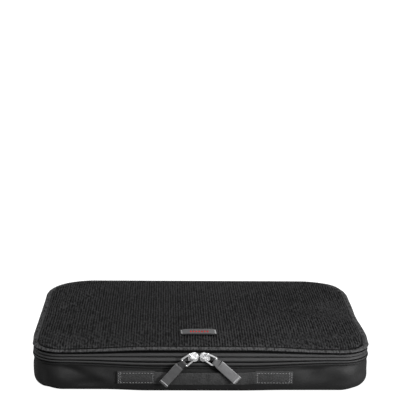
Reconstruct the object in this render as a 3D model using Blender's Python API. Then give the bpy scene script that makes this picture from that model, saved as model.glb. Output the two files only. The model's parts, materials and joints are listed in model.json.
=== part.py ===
"""A zipped packing cube: a soft tray, a mesh lid hinged along the back, two zip sliders with pulls."""

import math

import bmesh
import bpy
from mathutils import Matrix, Vector

# Case, metres. X is the width, -Y the front, Z up; the origin is the middle of the underside.
WIDTH = 0.450
DEPTH = 0.320
CORNER_RADIUS = 0.070
FRONT_RADIUS = 0.040
CORNER_STEPS = 9
SPLIT_Z = 0.0496
HINGE_GAP = 0.0003
GAP = 0.0003

# Soft panels, as (inset from the outer edge, height) pairs.
FABRIC = 0.0014
WALL_OUTLINE = (
    (0.0125, 0.0001),
    (0.0072, 0.0012),
    (0.0036, 0.0046),
    (0.0018, 0.0100),
    (0.0012, 0.0165),
    (0.0012, 0.0290),
    (0.0022, 0.0366),
)
LID_OUTLINE = (
    (0.0058, 0.0618),
    (0.0120, 0.0640),
    (0.0300, 0.0658),
    (0.0600, 0.0670),
    (0.1000, 0.0677),
    (0.1500, 0.0680),
)
LID_SHEET = 0.0012
BASE_INSET = 0.0129

# Welts and bindings.
TRAY_WELT_Z = 0.0395
TRAY_WELT_RADIUS = 0.0024
LID_WELT_Z = 0.0600
LID_WELT_RADIUS = 0.0027
WELT_SIDES = 8

# Zip.
TAPE_INSET = 0.0020
TAPE_THICK = 0.0008
TAPE_SPLIT = 0.0006
COIL_INSET = 0.0031
COIL_THICK = 0.0017
COIL_HEIGHT = 0.0020
LOWER_TAPE_FOOT = 0.0422
UPPER_TAPE_TOP = 0.0570

# Sliders and pulls.
SLIDER_LENGTH = 0.0138
SLIDER_NOSE = 0.0146
SLIDER_TAIL = 0.0090
NOSE_MEET_X = -0.0041
NOSE_GAP = 0.0007
OUTER_PLATE_Y = -0.15835
PLATE_THICK = 0.0013
INNER_PLATE_Y = -0.1536
CROWN_LENGTH = 0.0090
CROWN_WIDTH = 0.0030
CROWN_WALL = 0.0010
RING_Y = -0.1626
WIRE_RADIUS = 0.0010
RING_LENGTH = 0.0135
RING_WIDTH = 0.0108
RING_BEND = 0.0016
RING_SLIP = 0.0020
RING_DROP = {"left": 38.0, "right": 31.0}
TAB_SKEW = {"left": 10.0, "right": 10.0}
LOOP_WIDTH = 0.0072
LOOP_RADIUS = 0.0023
LOOP_BORE = 0.0013
LOOP_REACH = 0.0058
TAB_LENGTH = 0.0325
TAB_WIDTH = 0.0126
TAB_THICK = 0.0022
TAB_LEAN = 5.0

# Handle and label.
WEB_CENTRE_X = 0.004
WEB_LENGTH = 0.228
WEB_PATCH = 0.048
WEB_LOW = 0.0135
WEB_HIGH = 0.0303
WEB_THICK = 0.0015
WEB_FACE_Y = -0.1591
WEB_BOW = 0.0018
LABEL_SIZE = (0.048, 0.0215)
LABEL_THICK = 0.0008
LABEL_PLACE = (-0.0040, -0.1110, 0.0673)
LABEL_TURN = 1.5

MATERIALS = {
    "nylon": ((0.022, 0.022, 0.024, 1), 0.72, 0.0),
    "base_nylon": ((0.018, 0.018, 0.020, 1), 0.78, 0.0),
    "mesh_net": ((0.028, 0.028, 0.030, 1), 0.80, 0.0),
    "welt_cord": ((0.060, 0.060, 0.064, 1), 0.70, 0.0),
    "binding": ((0.030, 0.030, 0.032, 1), 0.80, 0.0),
    "zip_tape": ((0.055, 0.055, 0.058, 1), 0.75, 0.0),
    "zip_coil": ((0.020, 0.020, 0.022, 1), 0.45, 0.0),
    "webbing": ((0.050, 0.050, 0.053, 1), 0.75, 0.0),
    "thread": ((0.080, 0.080, 0.085, 1), 0.60, 0.0),
    "chrome": ((0.860, 0.860, 0.870, 1), 0.16, 1.0),
    "leather": ((0.120, 0.120, 0.125, 1), 0.55, 0.0),
    "label_cloth": ((0.160, 0.160, 0.165, 1), 0.65, 0.0),
}


def clear_scene():
    for obj in list(bpy.data.objects):
        bpy.data.objects.remove(obj)


def material(name):
    found = bpy.data.materials.get(name)
    if found:
        return found
    colour, roughness, metallic = MATERIALS[name]
    made = bpy.data.materials.new(name)
    made.use_nodes = True
    shader = made.node_tree.nodes["Principled BSDF"]
    shader.inputs["Base Color"].default_value = colour
    shader.inputs["Roughness"].default_value = roughness
    shader.inputs["Metallic"].default_value = metallic
    return made


def joint(name, location):
    """An empty on a joint's axis, which the moving pieces hang from."""
    empty = bpy.data.objects.new(name, None)
    empty.location = location
    bpy.context.scene.collection.objects.link(empty)
    return empty


def finish(name, bm, skin, parent=None, smooth=False):
    """Turns a mesh built in world coordinates into a named object whose origin is its joint."""
    bmesh.ops.recalc_face_normals(bm, faces=bm.faces)
    mesh = bpy.data.meshes.new(name)
    if parent:
        bmesh.ops.translate(bm, verts=bm.verts, vec=-parent.location)
    for face in bm.faces:
        face.smooth = smooth
    bm.to_mesh(mesh)
    bm.free()
    mesh.materials.append(material(skin))
    obj = bpy.data.objects.new(name, mesh)
    bpy.context.scene.collection.objects.link(obj)
    obj.parent = parent
    return obj


def outline(bm):
    """The case's rounded rectangle at its full size, as one face on the floor plane."""
    size = Matrix.Diagonal((WIDTH / 2, DEPTH / 2, 1, 1))
    made = bmesh.ops.create_grid(bm, x_segments=1, y_segments=1, size=1, matrix=size)
    back = [vert for vert in made["verts"] if vert.co.y > 0]
    front = [vert for vert in made["verts"] if vert.co.y < 0]
    round_corners(bm, back, CORNER_RADIUS, CORNER_STEPS)
    round_corners(bm, front, FRONT_RADIUS, CORNER_STEPS)


def set_in(start, inset, height):
    """Where a point of the full outline goes at an inset and a height."""
    full = CORNER_RADIUS if start.y > 0 else FRONT_RADIUS
    corner = Vector((WIDTH / 2 - full, DEPTH / 2 - full, 0))
    signs = Vector((math.copysign(1, start.x), math.copysign(1, start.y), 0))
    way = (start - corner * signs) / full
    radius = max(full - inset, 0.012)
    middle = Vector((WIDTH / 2 - inset - radius, DEPTH / 2 - inset - radius, 0)) * signs
    return middle + way * radius + Vector((0, 0, height))


def climb(bm, edges, starts, inset, height):
    """Extrudes a loop of edges and sets the new loop at an inset and a height."""
    made = bmesh.ops.extrude_edge_only(bm, edges=edges)["geom"]
    fresh = {}
    for vert in [item for item in made if isinstance(item, bmesh.types.BMVert)]:
        behind = [edge.other_vert(vert) for edge in vert.link_edges]
        fresh[vert] = [starts[other] for other in behind if other in starts][0]
    for vert, start in fresh.items():
        vert.co = set_in(start, inset, height)
    edges = [item for item in made if isinstance(item, bmesh.types.BMEdge)]
    return [edge for edge in edges if all(vert in fresh for vert in edge.verts)], fresh


def first_loop(bm, inset, height):
    """The outline as a bare loop, with each point's place on the full outline."""
    outline(bm)
    edges = list(bm.edges)
    starts = {vert: vert.co.copy() for vert in bm.verts}
    bmesh.ops.delete(bm, geom=list(bm.faces), context="FACES_ONLY")
    for vert, start in starts.items():
        vert.co = set_in(start, inset, height)
    return edges, starts


def thickened(points, thick):
    """A closed section: the line of points, and the same line moved inwards by the thickness."""
    inner = []
    for index, point in enumerate(points):
        before = Vector(points[max(index - 1, 0)])
        after = Vector(points[min(index + 1, len(points) - 1)])
        along = (after - before).normalized()
        inner.append((point[0] + along.y * thick, point[1] - along.x * thick))
    return list(points) + inner[::-1]


def swept(section):
    """A closed section carried all the way round the case."""
    bm = bmesh.new()
    edges, starts = first_loop(bm, *section[0])
    for inset, height in [*section[1:], section[0]]:
        edges, starts = climb(bm, edges, starts, inset, height)
    bmesh.ops.remove_doubles(bm, verts=bm.verts, dist=1e-6)
    return bm


def open_at_back(bm):
    """Takes the straight back run away and closes the two ends."""
    limit = WIDTH / 2 - CORNER_RADIUS + 0.001
    back = [
        face
        for face in bm.faces
        if face.calc_center_median().y > DEPTH / 2 - 0.02
        and abs(face.calc_center_median().x) < 0.01
        and max(abs(vert.co.x) for vert in face.verts) < limit
    ]
    bmesh.ops.delete(bm, geom=back, context="FACES")
    bmesh.ops.holes_fill(bm, edges=[edge for edge in bm.edges if edge.is_boundary], sides=0)
    return bm


def round_section(inset, height, radius):
    turns = [2 * math.pi * (step + 0.5) / WELT_SIDES for step in range(WELT_SIDES)]
    return [(inset + radius * math.cos(turn), height + radius * math.sin(turn)) for turn in turns]


def flat_section(inset, low, high, thick):
    return [(inset, low), (inset, high), (inset + thick, high), (inset + thick, low)]


def block(low, high):
    """A plain box between two corners."""
    bm = bmesh.new()
    low = Vector(low)
    high = Vector(high)
    size = high - low
    place = Matrix.Translation((low + high) / 2) @ Matrix.Diagonal((*size, 1))
    bmesh.ops.create_cube(bm, size=1, matrix=place)
    return bm


def flat_panel(inset, low, high):
    """A flat sheet with the case's outline."""
    bm = bmesh.new()
    edges, starts = first_loop(bm, inset, low)
    bmesh.ops.contextual_create(bm, geom=edges)
    edges, starts = climb(bm, edges, starts, inset, high)
    bmesh.ops.contextual_create(bm, geom=edges)
    return bm


def build_tray():
    finish("base_panel", flat_panel(BASE_INSET, 0, FABRIC), "base_nylon")
    finish("side_wall", swept(thickened(WALL_OUTLINE, FABRIC)), "nylon", smooth=True)
    foot = thickened(((0.0152, 0.0018), (0.0110, 0.0032), (0.0082, 0.0068)), 0.0009)
    finish("base_seam_binding", swept(foot), "binding")
    welt = round_section(TRAY_WELT_RADIUS, TRAY_WELT_Z, TRAY_WELT_RADIUS)
    finish("tray_welt", swept(welt), "welt_cord", smooth=True)
    inner = flat_section(2 * TRAY_WELT_RADIUS + GAP, 0.0362, 0.0425, 0.0009)
    finish("tray_seam_binding", swept(inner), "binding")
    top_edge = SPLIT_Z - TAPE_SPLIT
    tape = flat_section(TAPE_INSET, LOWER_TAPE_FOOT, top_edge, TAPE_THICK)
    finish("lower_zip_tape", open_at_back(swept(tape)), "zip_tape")
    coil = flat_section(COIL_INSET, top_edge - COIL_HEIGHT, top_edge, COIL_THICK)
    finish("lower_zip_coil", open_at_back(swept(coil)), "zip_coil")


def build_lid(parent):
    finish("mesh_panel", lid_shell(), "mesh_net", parent, smooth=True)
    welt = round_section(LID_WELT_RADIUS, LID_WELT_Z, LID_WELT_RADIUS)
    finish("lid_welt", swept(welt), "welt_cord", parent, smooth=True)
    inner = flat_section(2 * LID_WELT_RADIUS + GAP, 0.0552, 0.0600, 0.0009)
    finish("lid_seam_binding", swept(inner), "binding", parent)
    low_edge = SPLIT_Z + TAPE_SPLIT
    tape = flat_section(TAPE_INSET, low_edge, UPPER_TAPE_TOP, TAPE_THICK)
    finish("upper_zip_tape", open_at_back(swept(tape)), "zip_tape", parent)
    coil = flat_section(COIL_INSET, low_edge, low_edge + COIL_HEIGHT, COIL_THICK)
    finish("upper_zip_coil", open_at_back(swept(coil)), "zip_coil", parent)


def lid_shell():
    """The crowned mesh panel: rings climbing inwards above and below, each closed at the middle."""
    bm = bmesh.new()
    foot = (LID_OUTLINE[0][0], LID_OUTLINE[0][1] - LID_SHEET)
    under = [(inset, height - LID_SHEET) for inset, height in LID_OUTLINE[1:]]
    start_edges, starts = first_loop(bm, *foot)
    for section in (LID_OUTLINE, under):
        edges, points = start_edges, starts
        for inset, height in section:
            edges, points = climb(bm, edges, points, inset, height)
        bmesh.ops.contextual_create(bm, geom=edges)
    return bm


def build_hinge(lid_parent):
    """The cloth strip that joins lid and tray along the straight back run."""
    reach = WIDTH / 2 - CORNER_RADIUS - GAP
    out = DEPTH / 2 - TAPE_INSET
    split = TAPE_SPLIT / 2
    lower = block((-reach, out - 0.001, LOWER_TAPE_FOOT), (reach, out, SPLIT_Z - split))
    finish("hinge_strip_lower", lower, "nylon")
    upper = block((-reach, out - 0.001, SPLIT_Z + split), (reach, out, UPPER_TAPE_TOP))
    finish("hinge_strip_upper", upper, "nylon", lid_parent)


def build_handle():
    """One strap of webbing, flat where it is sewn down and slightly bowed between."""
    bm = bmesh.new()
    turn = Matrix.Rotation(math.radians(90), 4, "X")
    middle = Vector((WEB_CENTRE_X, WEB_FACE_Y, (WEB_LOW + WEB_HIGH) / 2))
    size = Matrix.Diagonal((WEB_LENGTH / 2, (WEB_HIGH - WEB_LOW) / 2, 1, 1))
    place = Matrix.Translation(middle) @ turn @ size
    bmesh.ops.create_grid(bm, x_segments=24, y_segments=1, size=1, matrix=place)
    free = WEB_LENGTH / 2 - WEB_PATCH
    for vert in bm.verts:
        share = min(abs(vert.co.x - WEB_CENTRE_X) / free, 1)
        vert.co.y -= WEB_BOW * (1 - share**2) ** 2
    front = bmesh.ops.extrude_face_region(bm, geom=list(bm.faces))["geom"]
    verts = [item for item in front if isinstance(item, bmesh.types.BMVert)]
    bmesh.ops.translate(bm, verts=verts, vec=(0, -WEB_THICK, 0))
    finish("handle_web", bm, "webbing")
    for side, name in ((-1, "left"), (1, "right")):
        x = WEB_CENTRE_X + side * (WEB_LENGTH - WEB_PATCH) / 2
        finish(f"handle_stitching_{name}", stitch_frame(x, middle.z), "thread")


def stitch_frame(x, z):
    """The sewn box that holds one end of the strap, as a thin frame."""
    bm = bmesh.new()
    turn = Matrix.Rotation(math.radians(90), 4, "X")
    size = Matrix.Diagonal((WEB_PATCH / 2 - 0.003, (WEB_HIGH - WEB_LOW) / 2 - 0.0025, 1, 1))
    face_y = WEB_FACE_Y - WEB_THICK - 0.00025
    place = Matrix.Translation((x, face_y, z)) @ turn @ size
    bmesh.ops.create_grid(bm, x_segments=1, y_segments=1, size=1, matrix=place)
    middle = list(bm.faces)
    bmesh.ops.inset_individual(bm, faces=middle, thickness=0.0009, use_even_offset=True)
    bmesh.ops.delete(bm, geom=middle, context="FACES")
    front = bmesh.ops.extrude_face_region(bm, geom=list(bm.faces))["geom"]
    verts = [item for item in front if isinstance(item, bmesh.types.BMVert)]
    bmesh.ops.translate(bm, verts=verts, vec=(0, -0.0004, 0))
    return bm


def build_label(parent):
    place = Matrix.Translation(LABEL_PLACE) @ Matrix.Rotation(math.radians(LABEL_TURN), 4, "Z")
    half_x = LABEL_SIZE[0] / 2
    half_y = LABEL_SIZE[1] / 2
    bm = block((-half_x, -half_y, 0), (half_x, half_y, LABEL_THICK))
    bmesh.ops.transform(bm, matrix=place, verts=bm.verts)
    finish("label_patch", bm, "label_cloth", parent)
    for side, name in ((-1, "left"), (1, "right")):
        x = side * (half_x - 0.003)
        half = half_y - 0.002
        top = LABEL_THICK + GAP
        bm = block((x - 0.0005, -half, top), (x + 0.0005, half, top + 0.0004))
        bmesh.ops.transform(bm, matrix=place, verts=bm.verts)
        finish(f"label_stitching_{name}", bm, "thread", parent)


def slider_plate(nose, tail, length, low_y, high_y, side):
    """A shield-shaped plate: wide and round at the nose, narrower at the tail."""
    bm = bmesh.new()
    turn = Matrix.Rotation(math.radians(90), 4, "X")
    place = Matrix.Translation((0, high_y, 0)) @ turn
    bmesh.ops.create_grid(bm, x_segments=1, y_segments=1, size=1, matrix=place)
    for vert in bm.verts:
        at_nose = vert.co.x * side < 0
        vert.co.x *= length / 2
        vert.co.z *= (nose if at_nose else tail) / 2
    front = [vert for vert in bm.verts if vert.co.x * side < 0]
    rear = [vert for vert in bm.verts if vert.co.x * side > 0]
    round_corners(bm, rear, tail * 0.22, 2)
    round_corners(bm, front, nose * 0.44, 6)
    made = bmesh.ops.extrude_face_region(bm, geom=list(bm.faces))["geom"]
    verts = [item for item in made if isinstance(item, bmesh.types.BMVert)]
    bmesh.ops.translate(bm, verts=verts, vec=(0, low_y - high_y, 0))
    return bm


def round_corners(bm, verts, offset, segments):
    bmesh.ops.bevel(
        bm,
        geom=verts,
        offset=offset,
        offset_type="OFFSET",
        segments=segments,
        profile=0.5,
        affect="VERTICES",
    )


def join_solid(obj, other):
    """Unites a helper solid with an object and leaves the helper out of the render."""
    other.hide_render = True
    other.display_type = "WIRE"
    union = obj.modifiers.new("join", "BOOLEAN")
    union.operation = "UNION"
    union.solver = "EXACT"
    union.object = other


def cut_solid(obj, other):
    other.hide_render = True
    other.display_type = "WIRE"
    cut = obj.modifiers.new("cut", "BOOLEAN")
    cut.operation = "DIFFERENCE"
    cut.solver = "EXACT"
    cut.object = other


def build_slider(name, side):
    """The slider: an outer plate, a post through the split of the zip, an inner plate, a crown."""
    centre_x = NOSE_MEET_X + side * (NOSE_GAP + SLIDER_LENGTH / 2)
    pivot = Vector((centre_x, RING_Y, SPLIT_Z))
    hold = joint(f"slider_{name}_joint", pivot)
    shift = Vector((centre_x, 0, SPLIT_Z))
    face_y = OUTER_PLATE_Y - PLATE_THICK
    outer = slider_plate(SLIDER_NOSE, SLIDER_TAIL, SLIDER_LENGTH, face_y, OUTER_PLATE_Y, side)
    bmesh.ops.translate(outer, verts=outer.verts, vec=shift)
    body = finish(f"slider_body_{name}", outer, "chrome", hold)
    inner = slider_plate(0.0100, 0.0072, 0.0120, INNER_PLATE_Y - 0.0011, INNER_PLATE_Y, side)
    bmesh.ops.translate(inner, verts=inner.verts, vec=shift)
    join_solid(body, finish(f"slider_inner_{name}", inner, "chrome", hold))
    post = block((-0.004, OUTER_PLATE_Y - 0.0004, -0.0003), (0.004, INNER_PLATE_Y - 0.0005, 0.0003))
    bmesh.ops.translate(post, verts=post.verts, vec=shift)
    join_solid(body, finish(f"slider_post_{name}", post, "chrome", hold))
    build_crown(name, hold, shift)
    build_pull(name, side, pivot)


def build_crown(name, hold, shift):
    """The bridge on the outer plate that holds the pull ring."""
    plate = OUTER_PLATE_Y - PLATE_THICK - GAP
    peak = RING_Y - WIRE_RADIUS - GAP - CROWN_WALL
    half = CROWN_LENGTH / 2
    bm = block((-half, peak, -CROWN_WIDTH / 2), (half, plate, CROWN_WIDTH / 2))
    edges = [edge for edge in bm.edges if all(vert.co.y < plate - 0.001 for vert in edge.verts)]
    cross = [edge for edge in edges if abs(edge.verts[0].co.x - edge.verts[1].co.x) < 1e-6]
    bmesh.ops.bevel(bm, geom=cross, offset=0.0018, segments=3, profile=0.5, affect="EDGES")
    bmesh.ops.translate(bm, verts=bm.verts, vec=shift)
    crown = finish(f"slider_crown_{name}", bm, "chrome", hold)
    inside = half - CROWN_WALL
    cutter = block((-inside, peak + CROWN_WALL, -0.004), (inside, plate + 0.004, 0.004))
    bmesh.ops.translate(cutter, verts=cutter.verts, vec=shift)
    cut_solid(crown, finish(f"crown_cutter_{name}", cutter, "chrome", hold))


def pull_frame(side, name):
    """Turns u along the pull, v along the ring's bars and n outwards into world directions."""
    drop = math.radians(RING_DROP[name])
    along = Vector((side * math.cos(drop), 0, -math.sin(drop)))
    outward = Vector((0, -1, 0))
    across = outward.cross(along)
    return Matrix((along, across, outward)).transposed().to_4x4()


def build_pull(name, side, pivot):
    frame = pull_frame(side, name)
    ring_hold = joint(f"pull_ring_{name}_joint", pivot)
    near = pivot + frame @ Vector((0, side * RING_SLIP, 0))
    ring = wire_ring()
    bmesh.ops.transform(ring, matrix=Matrix.Translation(near) @ frame, verts=ring.verts)
    finish(f"pull_ring_{name}", ring, "chrome", ring_hold, smooth=True)
    far = near + frame @ Vector((RING_LENGTH, 0, 0))
    tab_hold = joint(f"pull_tab_{name}_joint", far)
    lean = Matrix.Rotation(math.radians(-TAB_LEAN), 4, "Y")
    place = Matrix.Translation(far) @ frame @ lean
    build_collar(name, tab_hold, place)
    skew = Matrix.Rotation(math.radians(-side * TAB_SKEW[name]), 4, "Z")
    start = Matrix.Translation((LOOP_REACH + GAP + 0.0009, 0, 0))
    tab = block((0, -TAB_WIDTH / 2, -TAB_THICK / 2), (TAB_LENGTH, TAB_WIDTH / 2, TAB_THICK / 2))
    rounded = [edge for edge in tab.edges if abs(edge.verts[0].co.z - edge.verts[1].co.z) > 1e-4]
    bmesh.ops.bevel(tab, geom=rounded, offset=0.0009, segments=2, profile=0.5, affect="EDGES")
    bmesh.ops.transform(tab, matrix=place @ start @ skew, verts=tab.verts)
    finish(f"pull_tab_{name}", tab, "leather", tab_hold)


def wire_ring():
    """Bent wire: a round section drawn along each side and spun round each corner."""
    bm = bmesh.new()
    turn = Matrix.Rotation(math.radians(90), 4, "Y")
    place = Matrix.Translation((RING_BEND, -RING_WIDTH / 2, 0)) @ turn
    bmesh.ops.create_circle(bm, cap_ends=False, segments=8, radius=WIRE_RADIUS, matrix=place)
    edges = list(bm.edges)
    for step, run in enumerate((RING_LENGTH, RING_WIDTH, RING_LENGTH, RING_WIDTH)):
        heading = Matrix.Rotation(math.radians(90 * step), 3, "Z")
        made = bmesh.ops.extrude_edge_only(bm, edges=edges)["geom"]
        verts = [item for item in made if isinstance(item, bmesh.types.BMVert)]
        edges = [edge for edge in bm.edges if edge.verts[0] in verts and edge.verts[1] in verts]
        bmesh.ops.translate(bm, verts=verts, vec=heading @ Vector((run - 2 * RING_BEND, 0, 0)))
        middle = sum((vert.co for vert in verts), Vector()) / len(verts)
        spun = bmesh.ops.spin(
            bm,
            geom=edges,
            cent=middle + heading @ Vector((0, RING_BEND, 0)),
            axis=(0, 0, 1),
            angle=math.radians(90),
            steps=4,
        )["geom_last"]
        edges = [item for item in spun if isinstance(item, bmesh.types.BMEdge)]
    bmesh.ops.remove_doubles(bm, verts=bm.verts, dist=1e-6)
    return bm


def build_collar(name, hold, place):
    """The narrow strap loop round the ring's far bar, with the tongue that meets the tab."""
    turn = Matrix.Rotation(math.radians(90), 4, "X")
    bm = bmesh.new()
    bmesh.ops.create_cone(
        bm,
        cap_ends=True,
        segments=20,
        radius1=LOOP_RADIUS,
        radius2=LOOP_RADIUS,
        depth=LOOP_WIDTH,
        matrix=place @ turn,
    )
    collar = finish(f"pull_loop_{name}", bm, "leather", hold)
    tongue = block((0.0012, -LOOP_WIDTH / 2, -0.0010), (LOOP_REACH, LOOP_WIDTH / 2, 0.0010))
    bmesh.ops.transform(tongue, matrix=place, verts=tongue.verts)
    join_solid(collar, finish(f"pull_tongue_{name}", tongue, "leather", hold))
    bore = bmesh.new()
    bmesh.ops.create_cone(
        bore,
        cap_ends=True,
        segments=16,
        radius1=LOOP_BORE,
        radius2=LOOP_BORE,
        depth=LOOP_WIDTH + 0.002,
        matrix=place @ turn,
    )
    cut_solid(collar, finish(f"loop_bore_{name}", bore, "leather", hold))


def main():
    clear_scene()
    lid_hold = joint("lid_joint", Vector((0, DEPTH / 2 + HINGE_GAP, SPLIT_Z)))
    build_tray()
    build_lid(lid_hold)
    build_hinge(lid_hold)
    build_handle()
    build_label(lid_hold)
    for side, name in ((-1, "left"), (1, "right")):
        build_slider(name, side)


main()
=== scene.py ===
"""The looks of a zipped packing cube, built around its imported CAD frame."""

import json
import math

import bmesh
import bpy
from bpy.props import FloatProperty, FloatVectorProperty, PointerProperty
from mathutils import Matrix, Vector, noise


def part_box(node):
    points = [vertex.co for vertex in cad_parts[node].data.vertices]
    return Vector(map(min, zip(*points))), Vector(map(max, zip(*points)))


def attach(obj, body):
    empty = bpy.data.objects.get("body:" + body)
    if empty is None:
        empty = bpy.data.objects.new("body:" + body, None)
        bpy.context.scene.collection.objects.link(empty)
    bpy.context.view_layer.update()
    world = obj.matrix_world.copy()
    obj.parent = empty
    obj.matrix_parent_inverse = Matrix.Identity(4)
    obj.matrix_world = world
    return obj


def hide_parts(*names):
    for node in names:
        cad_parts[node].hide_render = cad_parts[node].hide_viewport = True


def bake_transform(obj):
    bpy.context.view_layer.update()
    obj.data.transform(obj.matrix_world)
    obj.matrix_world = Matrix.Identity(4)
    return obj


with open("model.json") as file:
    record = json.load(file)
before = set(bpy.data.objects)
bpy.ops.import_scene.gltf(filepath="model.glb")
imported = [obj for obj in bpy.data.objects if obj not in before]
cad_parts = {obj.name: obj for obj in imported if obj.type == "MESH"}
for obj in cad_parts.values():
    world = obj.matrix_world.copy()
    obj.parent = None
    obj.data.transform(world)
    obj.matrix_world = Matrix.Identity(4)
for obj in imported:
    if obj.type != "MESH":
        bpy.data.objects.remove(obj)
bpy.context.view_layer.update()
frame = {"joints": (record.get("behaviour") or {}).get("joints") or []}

bl_info = {
    "name": "Packing cube",
    "version": (1, 0, 0),
    "blender": (4, 5, 0),
    "location": "3D View > Sidebar > Packing cube",
    "description": "Builds a zipped packing cube with a ribbed mesh lid around its CAD frame",
    "category": "Add Mesh",
}

# The case's outline, and the heights at which its bands meet.
HALF_WIDTH = 0.225
HALF_DEPTH = 0.160
BACK_CORNER = 0.070
FRONT_CORNER = 0.040
BACK_RUN = HALF_WIDTH - BACK_CORNER
FRONT_RUN = HALF_WIDTH - FRONT_CORNER
SIDE_RUN = 2 * HALF_DEPTH - BACK_CORNER - FRONT_CORNER
RIM_LENGTH = 2 * (BACK_RUN + SIDE_RUN + FRONT_RUN) + math.pi * (BACK_CORNER + FRONT_CORNER)
SPLIT_Z = 0.0496
TRAY_TOP = 0.0369
PANEL_INSET = 0.0074
STRAP_X = 0.004
STRAP_Z = 0.0220
SIDES = ((-1, "left"), (1, "right"))

# How far the soft sides draw in: all along, at the front corners and at mid-depth.
# They ease out at the back.
SIDE_DRAW = 0.0012
FRONT_DRAW = {"left": 0.0020, "right": 0.0028}
MIDDLE_DRAW = 0.0018
BACK_EASE = 0.0040

# How far the low wall is tucked in at the corners, and below what height.
CORNER_TUCK = 0.0036
TUCK_HEIGHT = 0.0180

# How far the foot rides up beside the front middle, on each side.
FOOT_LIFT = {"left": 0.0016, "right": 0.0008}

# The share of their height that the bands lose where they draw together.
BAND_PRESS = 0.36

# Heights at which the trims are set, and the lid piping's half width.
PANEL_RIM_Z = 0.0598
LID_PIPING_Z = 0.0599
LID_PIPING_HALF = 0.0039
TRAY_PIPING_Z = 0.0395
COIL_RISE = 0.0017

# Painted shade: the dark colour of the grooves between bands and of the shadow line along the mesh panel's
# rim.
PAINTED_GROOVE_SHADE = (0.0020, 0.0020, 0.0021)
# Painted shadow: the darker colour of the wall's foot, standing in for its contact shadow.
PAINTED_FOOT_SHADOW = (0.0012, 0.0012, 0.0012)
CHROME_COLOUR = (0.90, 0.90, 0.91)


class CUBE_PG_cloth(bpy.types.PropertyGroup):
    """Sizes of the soft panels."""

    wall_thickness: FloatProperty(
        name="Wall thickness", description="Nylon of the wall and base",
        default=0.0007, subtype="DISTANCE",
    )
    fold_depth: FloatProperty(
        name="Fold depth", description="How far the wall's dents and puffs go",
        default=0.0042, subtype="DISTANCE",
    )
    crown: FloatProperty(
        name="Crown", description="Rise of the mesh panel above its rim",
        default=0.0042, subtype="DISTANCE",
    )
    rib_pitch: FloatProperty(
        name="Rib pitch", description="From one rib of the mesh to the next",
        default=0.0035, subtype="DISTANCE",
    )
    rib_height: FloatProperty(
        name="Rib height", description="Half the height of a rib",
        default=0.00044, subtype="DISTANCE",
    )
    lid_piping: FloatProperty(
        name="Lid piping", description="Half the height of the lid's flat piping",
        default=0.0022, subtype="DISTANCE",
    )
    tray_piping: FloatProperty(
        name="Tray piping", description="Radius of the piping round the tray",
        default=0.0024, subtype="DISTANCE",
    )


class CUBE_PG_trims(bpy.types.PropertyGroup):
    """Sizes of the zip, strap, label and pulls."""

    tooth_pitch: FloatProperty(
        name="Tooth pitch", description="From one turn of the zip's coil to the next",
        default=0.0016, subtype="DISTANCE",
    )
    strap_width: FloatProperty(
        name="Strap width", description="Width of the handle webbing",
        default=0.0168, subtype="DISTANCE",
    )
    wire: FloatProperty(
        name="Ring wire", description="Radius of the pull ring's wire",
        default=0.00112, subtype="DISTANCE",
    )
    tab_width: FloatProperty(
        name="Tab width", description="Width of a pull tab",
        default=0.0120, subtype="DISTANCE",
    )


class CUBE_PG_colours(bpy.types.PropertyGroup):
    """Colours of the cloths and trims."""

    nylon: FloatVectorProperty(
        name="Nylon", description="Wall, base and back strip", subtype="COLOR", size=3,
        default=(0.0060, 0.0060, 0.0062),
    )
    net: FloatVectorProperty(
        name="Mesh", description="Ribbed lid panel", subtype="COLOR", size=3,
        default=(0.0115, 0.0115, 0.0118),
    )
    piping: FloatVectorProperty(
        name="Piping", description="Piping round lid and tray", subtype="COLOR", size=3,
        default=(0.021, 0.021, 0.0214),
    )
    tape: FloatVectorProperty(
        name="Zip tape", description="Woven tape of the zip", subtype="COLOR", size=3,
        default=(0.030, 0.030, 0.0306),
    )
    webbing: FloatVectorProperty(
        name="Webbing", description="Handle strap", subtype="COLOR", size=3,
        default=(0.023, 0.023, 0.0233),
    )
    thread: FloatVectorProperty(
        name="Thread", description="Sewing thread", subtype="COLOR", size=3,
        default=(0.240, 0.240, 0.243),
    )
    tab: FloatVectorProperty(
        name="Pull tab", description="Leathercloth of the pulls", subtype="COLOR", size=3,
        default=(0.055, 0.055, 0.056),
    )
    label: FloatVectorProperty(
        name="Label", description="Woven label", subtype="COLOR", size=3,
        default=(0.090, 0.090, 0.092),
    )
    motif: FloatVectorProperty(
        name="Label motif", description="Diamonds woven on the label", subtype="COLOR", size=3,
        default=(0.34, 0.030, 0.028),
    )


# ---------------------------------------------------------------- outline and mesh helpers


def rim(length):
    """A point of the case's outline and its outward direction, by length from the back middle, going left."""
    length = length % RIM_LENGTH
    point = Vector((0, HALF_DEPTH, 0))
    legs = (
        (BACK_RUN, BACK_CORNER),
        (SIDE_RUN, FRONT_CORNER),
        (2 * FRONT_RUN, FRONT_CORNER),
        (SIDE_RUN, BACK_CORNER),
        (BACK_RUN, BACK_CORNER),
    )
    for index, (run, radius) in enumerate(legs):
        heading = math.pi * (1 + index / 2)
        way = Vector((math.cos(heading), math.sin(heading), 0))
        outward = Vector((way.y, -way.x, 0))
        if length <= run or index == len(legs) - 1:
            return point + way * min(length, run), outward
        length -= run
        middle = point + way * run - outward * radius
        if length <= math.pi / 2 * radius:
            turned = Matrix.Rotation(length / radius, 3, "Z") @ outward
            return middle + turned * radius, turned
        point = middle + way * radius
        length -= math.pi / 2 * radius


def waist(point):
    """The share of its width that the soft case keeps at a point's depth."""
    front = smooth_step((-0.085 - point.y) / 0.045)
    if point.x > 0:
        middle = math.exp(-(((point.y + 0.008) / 0.035) ** 2))
        back = smooth_step((point.y - 0.112) / 0.028)
        draw = SIDE_DRAW + MIDDLE_DRAW * middle + FRONT_DRAW["right"] * front - BACK_EASE * back
    else:
        draw = SIDE_DRAW + FRONT_DRAW["left"] * front
    return 1 - draw / HALF_WIDTH


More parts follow.
